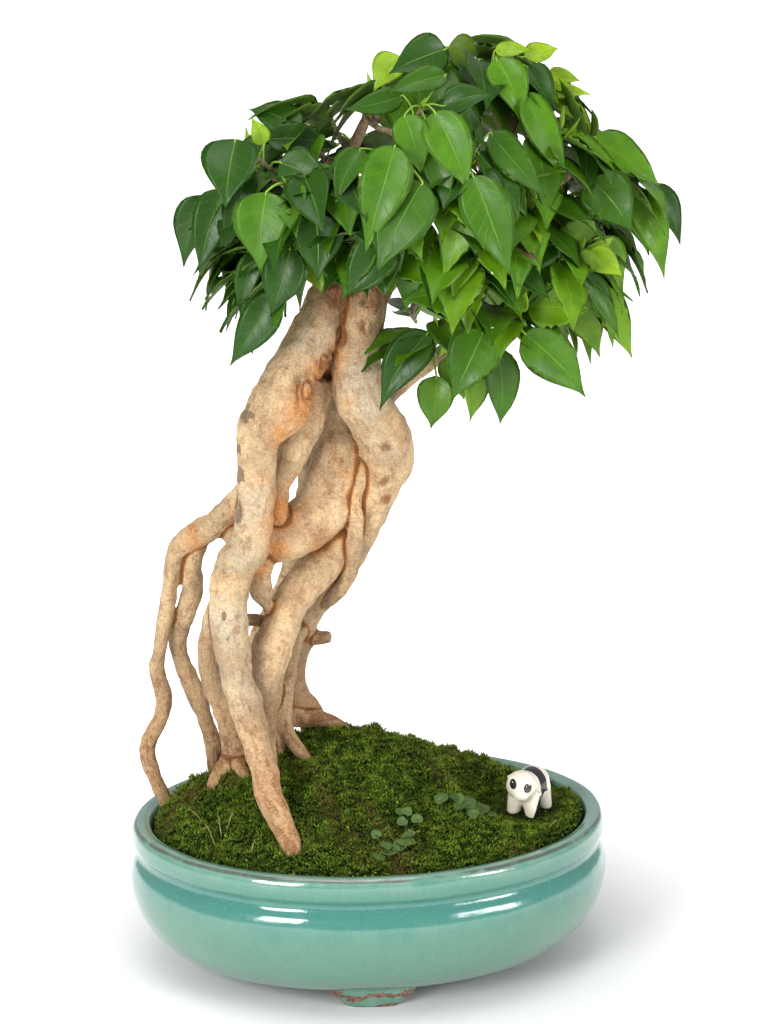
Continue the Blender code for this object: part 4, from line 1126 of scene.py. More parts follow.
DARK_BARK = (
    (-12, -20, 370, 13, 0.8), (2, -14, 378, 14, 0.8), (-16, -16, 352, 6, 0.7),
    (-18, -8, 390, 20, 0.8), (14, -4, 396, 22, 0.9), (-28, -14, 262, 12, 0.4),
    (-30, -12, 208, 12, 0.35), (-88, -26, 190, 12, 0.4), (-76, -2, 112, 14, 0.5),
    (-20, -18, 342, 4, 0.6),
)
# Lenticel patches: middle, half width and half height along the limb
LENTICELS = (
    (-65, -34, 316, 4.4, 5.4), (-70, -40, 298, 1.5, 2.8), (-69, -42, 284, 2.2, 5.0),
    (-71, -44, 266, 2.2, 7.5), (-80, -46, 212, 1.3, 2.6), (-78, -48, 199, 1.0, 3.0),
)
# Raised scars of cut branches: middle, radius and height of the ring
SCARS = (
    (-16, -18, 372, 7.0, 1.3), (0, -18, 371, 6.5, 1.5), (-2, -20, 357, 3.4, 0.8),
    (-21, -28, 331, 5.5, 0.9), (9, -18, 293, 2.4, 0.5), (8, -18, 274, 3.4, 0.6),
    (10, -16, 262, 3.0, 0.5), (-1, -20, 335, 1.8, 0.4), (-14, -22, 283, 1.8, 0.4),
)


# Folded skin over old wounds: middle and radius
FOLDS = ((-33, -30, 327, 9.5), (-23, -26, 340, 6.5), (-17, -20, 376, 7.0), (-2, -18, 374, 7.0),
         (-14, -20, 352, 5.0))


class BONSAI_OT_tree(bpy.types.Operator):
    """Make the roots, trunks, branches and the carriers of the shoots"""
    bl_idname = "bonsai.tree"
    bl_label = "Wood"

    def execute(self, context):
        chosen = context.scene.bonsai_tree
        bark = bark_material(chosen)
        voxel = chosen.voxel * 1
        wood = piece("trunk_and_roots", grown_wood(voxel), [bark])
        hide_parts("tree")
        carriers = piece("twig_carriers", twig_carriers(),
                         [twig_material(context.scene.bonsai_leaf)])
        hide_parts("tree")
        return {"FINISHED"}


def limb_tube(stations, number):
    """A limb with flutes and swellings: radius times 1 plus slow sine waves of angle and length."""
    rows = smooth_path(limb_rows(stations), 8)
    chance = np.random.default_rng(100 + number)
    a, b, c, d = chance.uniform(0, TAU, 4)
    thick = rows[:, 3].max()
    deep = 0.5 + 0.5 * min(thick / (10 * MM), 1)

    def wobble(length, angle):
        return (1.03 + deep * 0.045 * np.sin(2 * angle + 22 * length + a)
                + deep * 0.035 * np.sin(3 * angle - 31 * length + b)
                + 0.035 * np.sin(150 * length + c + 0.6 * np.sin(angle))
                + 0.02 * np.sin(420 * length + d + np.sin(2 * angle)))

    return tube(rows, 26, wobble)


def grown_wood(voxel):
    """All limbs in one skin by voxel remesh, then bumps, scars and hollows along the normals, and
    a painted-shade value that darkens the hollows, the creases between limbs and the fold valleys.
    """
    limbs = (*LIMBS.values(), *BRANCHES.values())
    tubes = joined([limb_tube(stations, k) for k, stations in enumerate(limbs)])
    points, normals, quads = remeshed(tubes, voxel, 3)
    samples = limb_samples()
    nearest = np.empty(len(points), int)
    crease_shade = np.empty(len(points))
    starts = np.flatnonzero(np.diff(samples[:, 5], prepend=-1))
    for start in range(0, len(points), 4000):
        part = points[start:start + 4000].astype(np.float32)
        gap = np.linalg.norm(part[:, None] - samples[None, :, :3].astype(np.float32), axis=2)
        gap -= samples[:, 3].astype(np.float32)
        nearest[start:start + 4000] = gap.argmin(1)
        limbs_near = np.sort(np.minimum.reduceat(gap, starts, axis=1), axis=1)
        # Painted shade in the creases: 1 where a second limb touches, 0 from 3.2 mm away.
        crease_shade[start:start + 4000] = np.clip(1 - limbs_near[:, 1] / (3.2 * MM), 0, 1)
    close = samples[nearest]
    offset = points - close[:, :3]
    grain = np.column_stack([close[:, 4] + close[:, 5] * 0.37, offset[:, 0] + offset[:, 2] * 0.3,
                             offset[:, 1]])
    radius = close[:, 3]
    soft = np.clip(radius / (8 * MM), 0.25, 1)
    lift = soft * (0.00045 * waves(points, 0.018, 51) + 0.00022 * waves(points, 0.007, 52))
    rings = np.column_stack([grain[:, 0], grain[:, 1] * 0.3, grain[:, 2] * 0.3])
    lift += soft * 0.00007 * waves(rings, 0.0045, 53)
    scar = np.zeros(len(points))
    for x, y, z, wide, tall in SCARS:
        far = front_distance(points, normals, (x, y, z)) / wide
        ring = np.exp(-((far - 0.8) / 0.28) ** 2) - 0.8 * np.exp(-(far / 0.5) ** 2)
        lift += ring * tall * MM
        scar = np.maximum(scar, np.exp(-(far / 1.1) ** 4))
    folded = np.zeros(len(points))
    for x, y, z, wide in FOLDS:
        apart = (points - POT_MIDDLE) / MM - (x, y, z)
        far = front_distance(points, normals, (x, y, z))
        ridge = np.sin(1.5 * np.hypot(apart[:, 0] * 1.4, apart[:, 2] * 0.7)
                       + waves(points, 0.02, 54))
        fade = np.exp(-(far / wide) ** 4)
        lift += 0.0009 * ridge * fade
        # folded keeps the valleys between the fold ridges as painted shade.
        folded = np.maximum(folded, -ridge * fade)
        scar = np.maximum(scar, fade * 0.8)
    # Painted shade: concave places, with the creases and fold valleys, later darken and warm the
    # bark's colour.
    mean = softened(points, quads, 10)
    hollow_shade = np.clip(((mean - points) * normals).sum(1) / 0.0009, -1, 1)
    hollow_shade = np.clip(hollow_shade + 0.9 * crease_shade ** 1.5 + folded, -1, 1)
    points = points + normals * lift[:, None]
    paint = np.stack([marks(points, ORANGE_BARK), marks(points, GREY_BARK),
                      marks(points, DARK_BARK)], -1)
    spots = np.zeros(len(points))
    for x, y, z, wide, tall in LENTICELS:
        apart = (points - POT_MIDDLE) / MM - (x, y, z)
        far = np.hypot(apart[:, 0] / wide, apart[:, 2] / tall)
        front = (np.abs(apart[:, 1]) < 15) & (normals[:, 1] < -0.1)
        spots = np.maximum(spots, np.where(front, 1.3 - far, 0))
    # relief: painted shade of hollows and creases, scars, and lenticel pores.
    return shell(points, quads, None, {
        "grain": grain, "paint": paint,
        "relief": np.stack([hollow_shade, scar, np.clip(spots, 0, 1)], -1)})


def front_distance(points, normals, spot):
    """Distance across and up from a spot in millimetres, huge where the skin faces back."""
    apart = (points - POT_MIDDLE) / MM - spot
    behind = (np.abs(apart[:, 1]) > 16) | (normals[:, 1] > 0.1)
    return np.hypot(apart[:, 0], apart[:, 2]) + 999 * behind


def marks(points, places):
    """A value of 0 to 1 that fades with distance from each of the chosen places."""
    found = np.zeros(len(points))
    for x, y, z, wide, strength in places:
        apart = ((points - POT_MIDDLE) / MM - (x, y, z)) * (1, 0.5, 1)
        found = np.maximum(found, strength * np.exp(-(apart ** 2).sum(1) / wide ** 2))
    return found


def twig_ends(name):
    """A shoot's twig from its node's mesh: thick end, thin end."""
    points = np.unique(np.round(mesh_points(frame["nodes"][name].data), 6), axis=0)
    _, used = leaf_places(name)
    rest = points[[tuple(p) not in used for p in np.round(points, 6)]]
    if len(rest) < 8:
        rest = points
    middle = rest.mean(0)
    way = np.linalg.svd(rest - middle)[2][0]
    along = (rest - middle) @ way
    first, last = middle + way * along.min(), middle + way * along.max()
    step = 0.0006
    spreads = []
    for end in (first, last):
        near = rest[np.abs((rest - end) @ way) < step]
        spreads.append(np.linalg.norm(near - near.mean(0), axis=1).mean())
    return (first, last) if spreads[0] > spreads[1] else (last, first)


def twig_carriers():
    """Thin branches, each a quadratic curve from the nearest branch to just inside a shoot."""
    skeleton = np.vstack([smooth_path(limb_rows(rows), 4) for rows in BRANCHES.values()])
    parts = []
    for name in shoot_names():
        start, end = twig_ends(name)
        root = skeleton[np.linalg.norm(skeleton[:, :3] - start, axis=1).argmin()]
        way = unit(end - start)
        stop = start + way * 0.001
        pull = stop - way * (0.5 * np.linalg.norm(stop - root[:3]))
        t = np.linspace(0, 1, 12)[:, None]
        line = root[:3] * (1 - t) ** 2 + pull * 2 * t * (1 - t) + stop * t * t
        thick = min(root[3] * 0.8, CARRIER_RADIUS)
        parts.append(tube(np.column_stack([line, thick + (TWIG_RADIUS - thick) * t]), 9,
                          lambda length, angle: 1 + 0.08 * np.sin(700 * length + angle)
                          + 0.05 * np.sin(260 * length)))
    return joined(parts)


def bark_material(chosen):
    """Tan bark, mottled with grey and brown: orange at the bends, grey-green where weathered,
    painted shade, darker and more orange, in the hollows and creases, earthy near the moss, with
    fine wrinkles and dark lenticels."""
    def wrinkles(tree):
        grain = own(tree, "grain")
        across = noise(tree, scaled(tree, grain, (1, 0.3, 0.3)), 520.0, 4.0, 0.65)
        return across, noise(tree, scaled(tree, grain, (0.35, 1, 1)), 260.0, 5.0, 0.65)

    def colour(tree):
        spot = place(tree)
        level = parts_of(tree, spot)[2]
        orange, grey, dark = parts_of(tree, own(tree, "paint"))
        # hollow_shade is the painted shade of hollows, creases and fold valleys.
        hollow_shade, scar, pores = parts_of(tree, own(tree, "relief"))
        slow = noise(tree, spot, 30.0, 5.0, 0.65)
        middle = noise(tree, spot, 95.0, 5.0, 0.7)
        fine = noise(tree, spot, 420.0, 5.0, 0.7)
        across, streak = wrinkles(tree)
        body = blend(tree, span(tree, slow, 0.36, 0.64), times(chosen.bark, 0.72),
                     times(chosen.bark, 1.3))
        warm = span(tree, noise(tree, spot, 42.0, 3.0), 0.54, 0.78, 0.0, 0.4)
        warm = calc(tree, "ADD", orange, warm)
        # Painted shade: the hollows and creases also turn the bark more orange.
        warm = calc(tree, "ADD", warm, span(tree, hollow_shade, 0.0, 0.5, 0.0, 0.55))
        body = blend(tree, span(tree, warm, 0.1, 0.9, 0.0, 0.92), body, chosen.orange_bark)
        worn = calc(tree, "ADD", grey, span(tree, middle, 0.45, 0.7, -0.15, 0.55))
        worn = calc(tree, "MULTIPLY", worn, span(tree, warm, 1.1, 0.5))
        body = blend(tree, span(tree, worn, 0.1, 0.9, 0.0, 0.8), body, chosen.grey_bark)
        earthy = calc(tree, "MULTIPLY", span(tree, level, EARTHY[1], EARTHY[0]),
                      span(tree, middle, 0.3, 0.6, 0.45, 0.95))
        body = blend(tree, earthy, body, EARTH_BARK)
        cracks = calc(tree, "MULTIPLY", earthy, span(tree, streak, 0.48, 0.6, 0.0, 0.8))
        body = blend(tree, cracks, body, chosen.shade_bark)
        grit = noise(tree, spot, 900.0, 2.0, 0.7)
        for value, low, high, share in (
                (middle, 0.52, 0.7, 0.5), (streak, 0.5, 0.64, 0.45), (across, 0.52, 0.68, 0.3),
                (fine, 0.5, 0.7, 0.4), (grit, 0.5, 0.7, 0.34)):
            body = blend(tree, span(tree, value, low, high, 0.0, share), body, chosen.shade_bark)
        body = blend(tree, span(tree, grit, 0.5, 0.3, 0.0, 0.35), body,
                     times(chosen.bark, 1.5))
        # Painted shade in the hollows and creases, added to the darker bark of the dark marks.
        shade = calc(tree, "ADD", span(tree, hollow_shade, 0.15, 0.9, 0.0, 1.0),
                     calc(tree, "MULTIPLY", dark, span(tree, middle, 0.3, 0.6, 0.4, 0.9)))
        body = blend(tree, span(tree, shade, 0.0, 1.1, 0.0, 0.9), body, chosen.shade_bark)
        rough_scar = calc(tree, "MULTIPLY", scar, span(tree, streak, 0.38, 0.56))
        body = blend(tree, calc(tree, "MULTIPLY", rough_scar, 0.8), body, chosen.shade_bark)
        broken = span(tree, noise(tree, spot, 210.0, 4.0), 0.36, 0.56, 0.1, 1.5)
        broken = calc(tree, "MULTIPLY", pores, broken)
        body = blend(tree, span(tree, broken, 0.3, 0.6, 0.0, 0.7), body, chosen.lenticel)
        dots = flecks(tree, scaled(tree, spot, (1, 1, 0.5)), 260.0, 0.16, 0.07)
        return blend(tree, calc(tree, "MULTIPLY", dots, 0.6), body, chosen.lenticel)

    def height(tree):
        across, streak = wrinkles(tree)
        _, scar, pores = parts_of(tree, own(tree, "relief"))
        fine = noise(tree, place(tree), 560.0, 6.0, 0.7)
        total = calc(tree, "ADD", calc(tree, "MULTIPLY", across, 0.6), fine)
        total = calc(tree, "ADD", total, calc(tree, "MULTIPLY", streak, 0.7))
        torn = calc(tree, "MULTIPLY", scar, calc(tree, "MULTIPLY", streak, 2.5))
        total = calc(tree, "ADD", total, torn)
        return calc(tree, "SUBTRACT", total, calc(tree, "MULTIPLY", pores, 0.8))

    return surface("bark", colour, uneven(200.0, 0.55, 0.78), height, 0.0012,
                   specular_ior_level=0.3)


def twig_material(chosen):
    """Brown-green bark of the twigs, with rings."""
    def colour(tree):
        grain = own(tree, "grain")
        rings = noise(tree, scaled(tree, grain, (1, 0.1, 0.1)), 900.0, 2.0)
        body = blend(tree, mottle(tree, place(tree), 160.0), chosen.twig,
                     times(chosen.twig, 0.55))
        return blend(tree, span(tree, rings, 0.5, 0.7, 0.0, 0.6), body, (0.30, 0.24, 0.13, 1))

    def height(tree):
        return noise(tree, scaled(tree, own(tree, "grain"), (1, 0.2, 0.2)), 900.0, 3.0)

    return surface("twig_bark", colour, uneven(300.0, 0.55, 0.8), height, 0.0006)


# ---------------------------------------------------------------- leaves

LEAF_ROWS = 12
LEAF_SHARES = np.array([0, 0.035, 0.09, 0.17, 0.27, 0.38, 0.50, 0.62, 0.74, 0.84, 0.92, 1.0])
LEAF_HALF = np.array([0.06, 0.44, 0.76, 0.95, 1.03, 1.01, 0.91, 0.74, 0.49, 0.26, 0.11, 0.015])
LEAF_ACROSS = np.array([-1, -0.72, -0.4, 0, 0.4, 0.72, 1])


def shoot_names():
    """The nodes of the leafy shoots, in order of name."""
    return sorted(name for name in frame["nodes"] if name.startswith("leafy_shoot"))


def leaf_places(name):
    """The leaves of a shoot's node, and the points that they use.

    In the node a leaf is a lens: two middles, one leaf thickness apart, each joined to the same
    outline. So a pair of points that far apart with six or more neighbours in common is a
    leaf. The neighbours that only one has are the stalk's top and bottom; of the others the
    farthest is the tip, and the widest pair gives the width.
    """
    mesh = frame["nodes"][name].data
    raw = mesh_points(mesh)
    points, index = np.unique(np.round(raw, 6), axis=0, return_inverse=True)
    corners = np.empty(len(mesh.loops), np.int32)
    mesh.loops.foreach_get("vertex_index", corners)
    faces = index.reshape(-1)[corners].reshape(-1, 3)
    around = [set() for _ in points]
    for a, b, c in faces.tolist():
        around[a] |= {b, c}
        around[b] |= {a, c}
        around[c] |= {a, b}
    many = [i for i, near in enumerate(around) if 7 <= len(near) <= 9]
    found, used = [], set()
    for k, i in enumerate(many):
        for j in many[k + 1:]:
            shared = around[i] & around[j]
            gap = np.linalg.norm(points[i] - points[j])
            if len(shared) < 6 or abs(gap - LEAF_THICKNESS) > 0.02 * MM:
                continue
            stalk = points[list((around[i] | around[j]) - shared - {i, j})]
            outline = points[list(shared)]
            centre = (points[i] + points[j]) / 2
            tip = outline[np.linalg.norm(outline - centre, axis=1).argmax()]
            base = stalk.mean(0) if len(stalk) else outline.mean(0)
            chord = tip - base
            along = (outline - base) @ chord / (chord @ chord)
            early = outline[(along > 0.1) & (along < 0.45)]
            if len(early) < 2:
                continue
            side = unit(early[0] - early[-1])
            face = unit(points[i] - points[j])
            if (early.mean(0) - base - chord * 0.28) @ face < 0:
                face = -face
            found.append((base, tip, side, face, np.linalg.norm(early[0] - early[-1])))
            for n in shared | {i, j} | (around[i] | around[j]):
                used.add(tuple(points[n]))
    return found, used


FILLERS = 10            # places for further leaves on each twig
YOUNG = 3               # unfolding leaves at its end
LEAF_TURN = 2.4         # radians round the twig from one leaf to the next
SHOULDER = ((-22, 12, 446), (56, 66, 32))     # the low mass on the left, like CROWN
FORK_WINDOW = (-32, 14, 381)    # x from and to, and the lowest tip in front of the trunk's fork


def in_crown(point):
    """Whether the point is inside one of the rounded masses of the crown."""
    for centre, radii in (*CROWN, SHOULDER):
        if ((((point - POT_MIDDLE) / MM - centre) / radii) ** 2).sum() < 1:
            return True
    return False


def clear_fork(place):
    """The leaf, lifted where its tip would hang in front of the trunk's fork."""
    base, tip, side, face, width = place
    x, y, z = (tip - POT_MIDDLE) / MM
    lift = max(FORK_WINDOW[2] - z, 0) * MM
    if not (FORK_WINDOW[0] < x < FORK_WINDOW[1] and y < 0 and 0 < lift < 0.03):
        return place
    return base + (0, 0, lift * 0.6), tip + (0, 0, lift), side, face, width


def more_leaves(places, start, end, lowest, seed):
    """Further leaves on a twig by the spiral rule, smaller towards its end, where there is room
    between the others, inside the crown and above the lowest of the shoot, and a few young
    ones round the bud."""
    chance = np.random.default_rng(seed)
    way = unit(end - start)
    first = unit(np.cross(way, (0.3, 0.1, 1.0)))
    second = np.cross(way, first)
    crown_middle = POT_MIDDLE + np.array((38, 0, 400)) * MM
    away = unit((start - crown_middle) * (1, 1, 0))
    found = list(places)
    for k in range(FILLERS + YOUNG):
        young = k >= FILLERS
        turn = k * LEAF_TURN + chance.uniform(-0.5, 0.5)
        out = first * math.cos(turn) + second * math.sin(turn)
        share = 0.97 if young else 0.05 + 0.85 * k / FILLERS
        size = chance.uniform(0.3, 0.5) if young else chance.uniform(0.72, 1.05) - 0.25 * share ** 3
        stem = start + (end - start) * share
        base = stem + (out * 0.8 + way * 0.5 + (0, 0, 0.2)) * 0.011 * size
        if young:
            reach = unit(out * 0.8 + way * 0.9 + (0, 0, chance.uniform(-0.1, 0.5)))
        else:
            reach = unit(out * 0.75 + away * 0.5 + way * 0.25 - (0, 0, chance.uniform(0.1, 1.1)))
        tip = base + reach * LEAF_LENGTH * size
        middle = (base + tip) / 2
        crowded = [np.linalg.norm(middle - (b + t) / 2) < 0.0065 for b, t, *_ in found]
        if not (in_crown(base) and in_crown(tip)) or (any(crowded) and not young) or (
                tip[2] < lowest + 3 * MM):
            continue
        facing = away + out * 0.5 + (0, 0, 0.6)
        side = unit(np.cross(reach, facing))
        face = unit(np.cross(side, reach))
        width = LEAF_WIDTH * size * chance.uniform(0.95, 1.15)
        found.append((base, tip, side, face, width))
    return [clear_fork(place) for place in found]


def leaf_template():
    """Faces and slots of one leaf: a front and a back grid that share their edge."""
    rows, columns = LEAF_ROWS, len(LEAF_ACROSS)
    front = np.arange(rows * columns).reshape(rows, columns)
    back = front.copy()
    inner = back[1:-1, 1:-1]
    inner[...] = rows * columns + np.arange(inner.size).reshape(inner.shape)
    def quads_of(index):
        return np.stack([index[:-1, :-1], index[:-1, 1:], index[1:, 1:], index[1:, :-1]],
                        -1).reshape(-1, 4)
    return quads_of(front), quads_of(back)[:, ::-1]


def leaf_blades(places, seed):
    """Leaves as arched, folded sheets.

    A point is base + chord t + face arch t (1 - t) + side u w(t) + face fold |u|^1.6 w(t), with
    a wave along the margin, a slow twist and a droop towards the tip, u from -1 to 1 and t from
    0 to 1. The back is the front moved down by the leaf's thickness, thin at the edge.
    """
    chance = np.random.default_rng(seed)
    base, tip, side, face, width = (np.array(column) for column in zip(*places))
    count = len(base)
    chord = tip - base
    length = np.linalg.norm(chord, axis=1)
    way = unit(chord)
    side = unit(side - way * (side * way).sum(1, keepdims=True))
    flip = np.sign((np.cross(side, way) * face).sum(1, keepdims=True))
    side = side * flip
    face = np.cross(side, way)
    t = LEAF_SHARES[None, :, None, None]
    u = LEAF_ACROSS[None, None, :, None]
    half = LEAF_HALF[None, :, None, None] * width[:, None, None, None] * 0.54

    def each(value):
        return value[:, None, None, None]

    def vector(rows):
        return rows[:, None, None, :]

    big = np.clip((length - 0.012) / 0.03, 0, 1)
    arch = each(0.24 + chance.uniform(-0.05, 0.05, count)) * each(length)
    fold = each(chance.uniform(0.10, 0.34, count))
    phase = each(chance.uniform(0, TAU, count))
    ripple = each(chance.uniform(0.0003, 0.0009, count) * big)
    twist = each(chance.uniform(-0.5, 0.5, count)) * (t - 0.35)
    bent = each(chance.uniform(-0.05, 0.05, count) * length)
    lean = vector(side) * np.cos(twist) + vector(face) * np.sin(twist)
    lifted = vector(face) * np.cos(twist) - vector(side) * np.sin(twist)
    points = (vector(base) + vector(chord) * t + vector(face) * (arch * t * (1 - t))
              + lean * (u * half + bent * np.sin(t * math.pi))
              + lifted * (fold * np.abs(u) ** 1.6 * half)
              + lifted * (ripple * np.abs(u) * np.sin(t * 13 + phase + 1.5 * np.sign(u))))
    droop = each(chance.uniform(0.0, 0.10, count) * length)
    points = points - np.array((0, 0, 1.0)) * droop * np.clip((t - 0.55) / 0.45, 0, 1) ** 2
    groove = 0.00035 * np.exp(-(u / 0.25) ** 2) * each(big)
    points = points - lifted * groove
    thin = 0.00028 * (1 - u ** 2) + 0.0005 * np.exp(-(u / 0.2) ** 2) * (1 - t)
    back = (points - lifted * thin)[:, 1:-1, 1:-1]
    rows, columns = LEAF_ROWS, len(LEAF_ACROSS)
    blade = np.stack([np.broadcast_to(u[..., 0], (count, rows, columns)),
                      np.broadcast_to(t[..., 0], (count, rows, columns)),
                      np.broadcast_to(chance.random(count)[:, None, None],
                                      (count, rows, columns))], -1)
    young = np.clip((0.030 - length) / 0.012, 0, 1) + np.clip((0.012 - width) / 0.004, 0, 1)
    young = np.clip(young + chance.uniform(-0.15, 0.15, count), 0, 1)
    age = np.stack([young, chance.random(count), chance.random(count)], -1)
    age = np.broadcast_to(age[:, None, None, :], blade.shape)
    all_points = np.concatenate([points.reshape(count, -1, 3), back.reshape(count, -1, 3)], 1)
    values = {key: np.concatenate([v.reshape(count, -1, 3),
                                   v[:, 1:-1, 1:-1].reshape(count, -1, 3)], 1).reshape(-1, 3)
              for key, v in (("blade", blade), ("age", age))}
    front, rear = leaf_template()
    each_leaf = np.concatenate([front, rear])
    steps = np.arange(count)[:, None, None] * all_points.shape[1]
    quads = (each_leaf[None] + steps).reshape(-1, 4)
    slots = np.tile(np.concatenate([np.zeros(len(front)), np.ones(len(rear))]), count)
    return shell(all_points.reshape(-1, 3), quads, None, values, slots)


def stalks(places, start, end):
    """Leaf stalks: bent tubes from the twig to each leaf's base."""
    axis = end - start
    parts = []
    for base, tip, _, _, width in places:
        share = np.clip((base - start) @ axis / (axis @ axis) - 0.15, 0.12, 0.95)
        stem = start + axis * share
        way = unit(tip - base)
        middle = (stem + base) / 2 + (0, 0, 0.0012) - way * 0.0008
        thick = 0.00034 + 0.012 * width
        rows = [(*stem, thick * 1.25), (*middle, thick), (*base, thick * 0.9),
                (*(base + way * 0.0018), thick * 0.5)]
        parts.append(with_leaf_values(tube(smooth_path(rows, 3), 6), 2))
    return parts


def with_leaf_values(shape, slot):
    """A tube that can join the leaves: the same value names and one slot."""
    points = len(shape["points"])
    shape["values"] = {"blade": np.tile((0.0, 0.5, 0.5), (points, 1)),
                       "age": np.tile((0.5, 0.5, 0.5), (points, 1))}
    shape["slots"] = np.full(len(shape["quads"]) + len(shape["triangles"]), slot)
    return shape


def twig_shape(start, end):
    """A twig with leaf scars, and the pointed bud at its end."""
    way = unit(end - start)
    t = np.linspace(0, 1, 14)[:, None]
    rows = np.column_stack([start + (end - start) * t,
                            TWIG_RADIUS * (1 - 0.35 * t) * (1 + 0.16 * np.sin(t * 22))])
    bud = np.column_stack([end + way * np.array([0, 0.0012, 0.003, 0.0052, 0.0075])[:, None],
                           np.array([0.0008, 0.0012, 0.001, 0.0005, 0.00012])])
    parts = [with_leaf_values(tube(rows, 9), 3), with_leaf_values(tube(smooth_path(bud, 2), 7), 2)]
    return parts


class BONSAI_OT_leaves(bpy.types.Operator):
    """Make every leafy shoot: twig, bud, stalks and leaves"""
    bl_idname = "bonsai.leaves"
    bl_label = "Leafy shoots"

    def execute(self, context):
        chosen = context.scene.bonsai_leaf
        materials = [leaf_material(chosen, True), leaf_material(chosen, False),
                     stalk_material(chosen), twig_material(chosen)]
        for number, name in enumerate(shoot_names()):
            places, _ = leaf_places(name)
            start, end = twig_ends(name)
            places = more_leaves(places, start, end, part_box(name)[0].z, 300 + number)
            parts = twig_shape(start, end) + stalks(places, start, end)
            if places:
                parts.append(leaf_blades(places, 200 + number))
            shoot = piece(name.replace("leafy_shoot", "leaves"), joined(parts), materials)
            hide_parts(name)
        return {"FINISHED"}


def leaf_material(chosen, upper):
    """A leaf's upper face or underside: pale midrib, side veins and margin, mottled green,
    yellow-green when young, with a few pale specks; painted light makes the low leaves on the
    right brighter and fresher, and painted shade makes the leaves on the left darker."""
    def veins(tree):
        u, t, _ = parts_of(tree, own(tree, "blade"))
        across = calc(tree, "ABSOLUTE", u)
        rib = span(tree, across, 0.04, 0.0)
        swept = calc(tree, "MULTIPLY", calc(tree, "POWER", across, 0.8), 0.2)
        slant = calc(tree, "SUBTRACT", t, swept)
        saw = calc(tree, "FRACT", calc(tree, "MULTIPLY", slant, 7.0))
        away = calc(tree, "ABSOLUTE", calc(tree, "SUBTRACT", saw, 0.5))
        side = span(tree, away, 0.05, 0.0)
        margin = span(tree, across, 0.95, 1.0)
        return rib, side, margin

    def colour(tree):
        rib, side, margin = veins(tree)
        young, tone, luck = parts_of(tree, own(tree, "age"))
        spot = place(tree)
        right, _, level = parts_of(tree, spot)
        # Painted light: low leaves on the right get a brighter, fresher tone.
        painted_light = calc(tree, "MULTIPLY", span(tree, right, -0.02, 0.05),
                     span(tree, level, 0.41, 0.35))
        tone = calc(tree, "ADD", tone, calc(tree, "MULTIPLY", painted_light, 0.45))
        # Painted shade: leaves on the left get a darker tone.
        tone = calc(tree, "ADD", tone, span(tree, right, -0.08, 0.03, -0.35, 0.0))
        body = blend(tree, span(tree, tone, 0.1, 0.95), chosen.deep_leaf,
                     chosen.mid_leaf)
        fresh = calc(tree, "MULTIPLY", span(tree, tone, 0.72, 1.2), 0.3)
        body = blend(tree, fresh, body, chosen.young_leaf)
        body = blend(tree, span(tree, young, 0.15, 1.0), body, chosen.young_leaf)
        if not upper:
            body = blend(tree, 0.72, body, chosen.under_leaf)
        patch = noise(tree, spot, 90.0, 3.0)
        body = blend(tree, span(tree, patch, 0.35, 0.7, 0.0, 0.4), body, chosen.deep_leaf)
        body = blend(tree, calc(tree, "MULTIPLY", side, 0.09), body, chosen.vein)
        body = blend(tree, calc(tree, "MULTIPLY", rib, 0.5), body, chosen.vein)
        body = blend(tree, calc(tree, "MULTIPLY", margin, 0.35), body, chosen.vein)
        specks = calc(tree, "MULTIPLY", flecks(tree, spot, 210.0, 0.17, 0.05),
                      span(tree, luck, 0.7, 0.8))
        body = blend(tree, specks, body, (0.62, 0.66, 0.42, 1))
        burnt = calc(tree, "MULTIPLY", span(tree, luck, 0.98, 0.985),
                     mottle(tree, spot, 60.0, 0.54, 0.6))
        return blend(tree, burnt, body, (0.10, 0.06, 0.035, 1))

    def roughness(tree):
        low, high = (0.26, 0.42) if upper else (0.48, 0.62)
        return span(tree, noise(tree, place(tree), 130.0, 4.0), 0.3, 0.7, low, high)

    def height(tree):
        rib, side, _ = veins(tree)
        fine = noise(tree, place(tree), 500.0, 3.0)
        total = calc(tree, "MULTIPLY", fine, 0.35)
        total = calc(tree, "SUBTRACT", total, calc(tree, "MULTIPLY", side, 0.35))
        return calc(tree, "SUBTRACT", total, calc(tree, "MULTIPLY", rib, 0.8))

    return surface("leaf_face" if upper else "leaf_back", colour, roughness, height, 0.00016,
                   specular_ior_level=0.22)


def stalk_material(chosen):
    """Yellow-green leaf stalks and buds."""
    def colour(tree):
        return blend(tree, mottle(tree, place(tree), 150.0), chosen.young_leaf,
                     chosen.vein)

    return surface("stalk", colour, uneven(300.0, 0.35, 0.5))


# ---------------------------------------------------------------- weeds

class BONSAI_OT_weeds(bpy.types.Operator):
    """Make the round-leaved weeds in the moss"""
    bl_idname = "bonsai.weeds"
    bl_label = "Weeds"

    def execute(self, context):
        material = weed_material()
        for number, (name, places) in enumerate(WEED_PLACES.items()):
            obj = piece(name.replace("weed", "clover"), weed_shape(places, 61 + number),
                        [material])
            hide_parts(name)
        return {"FINISHED"}


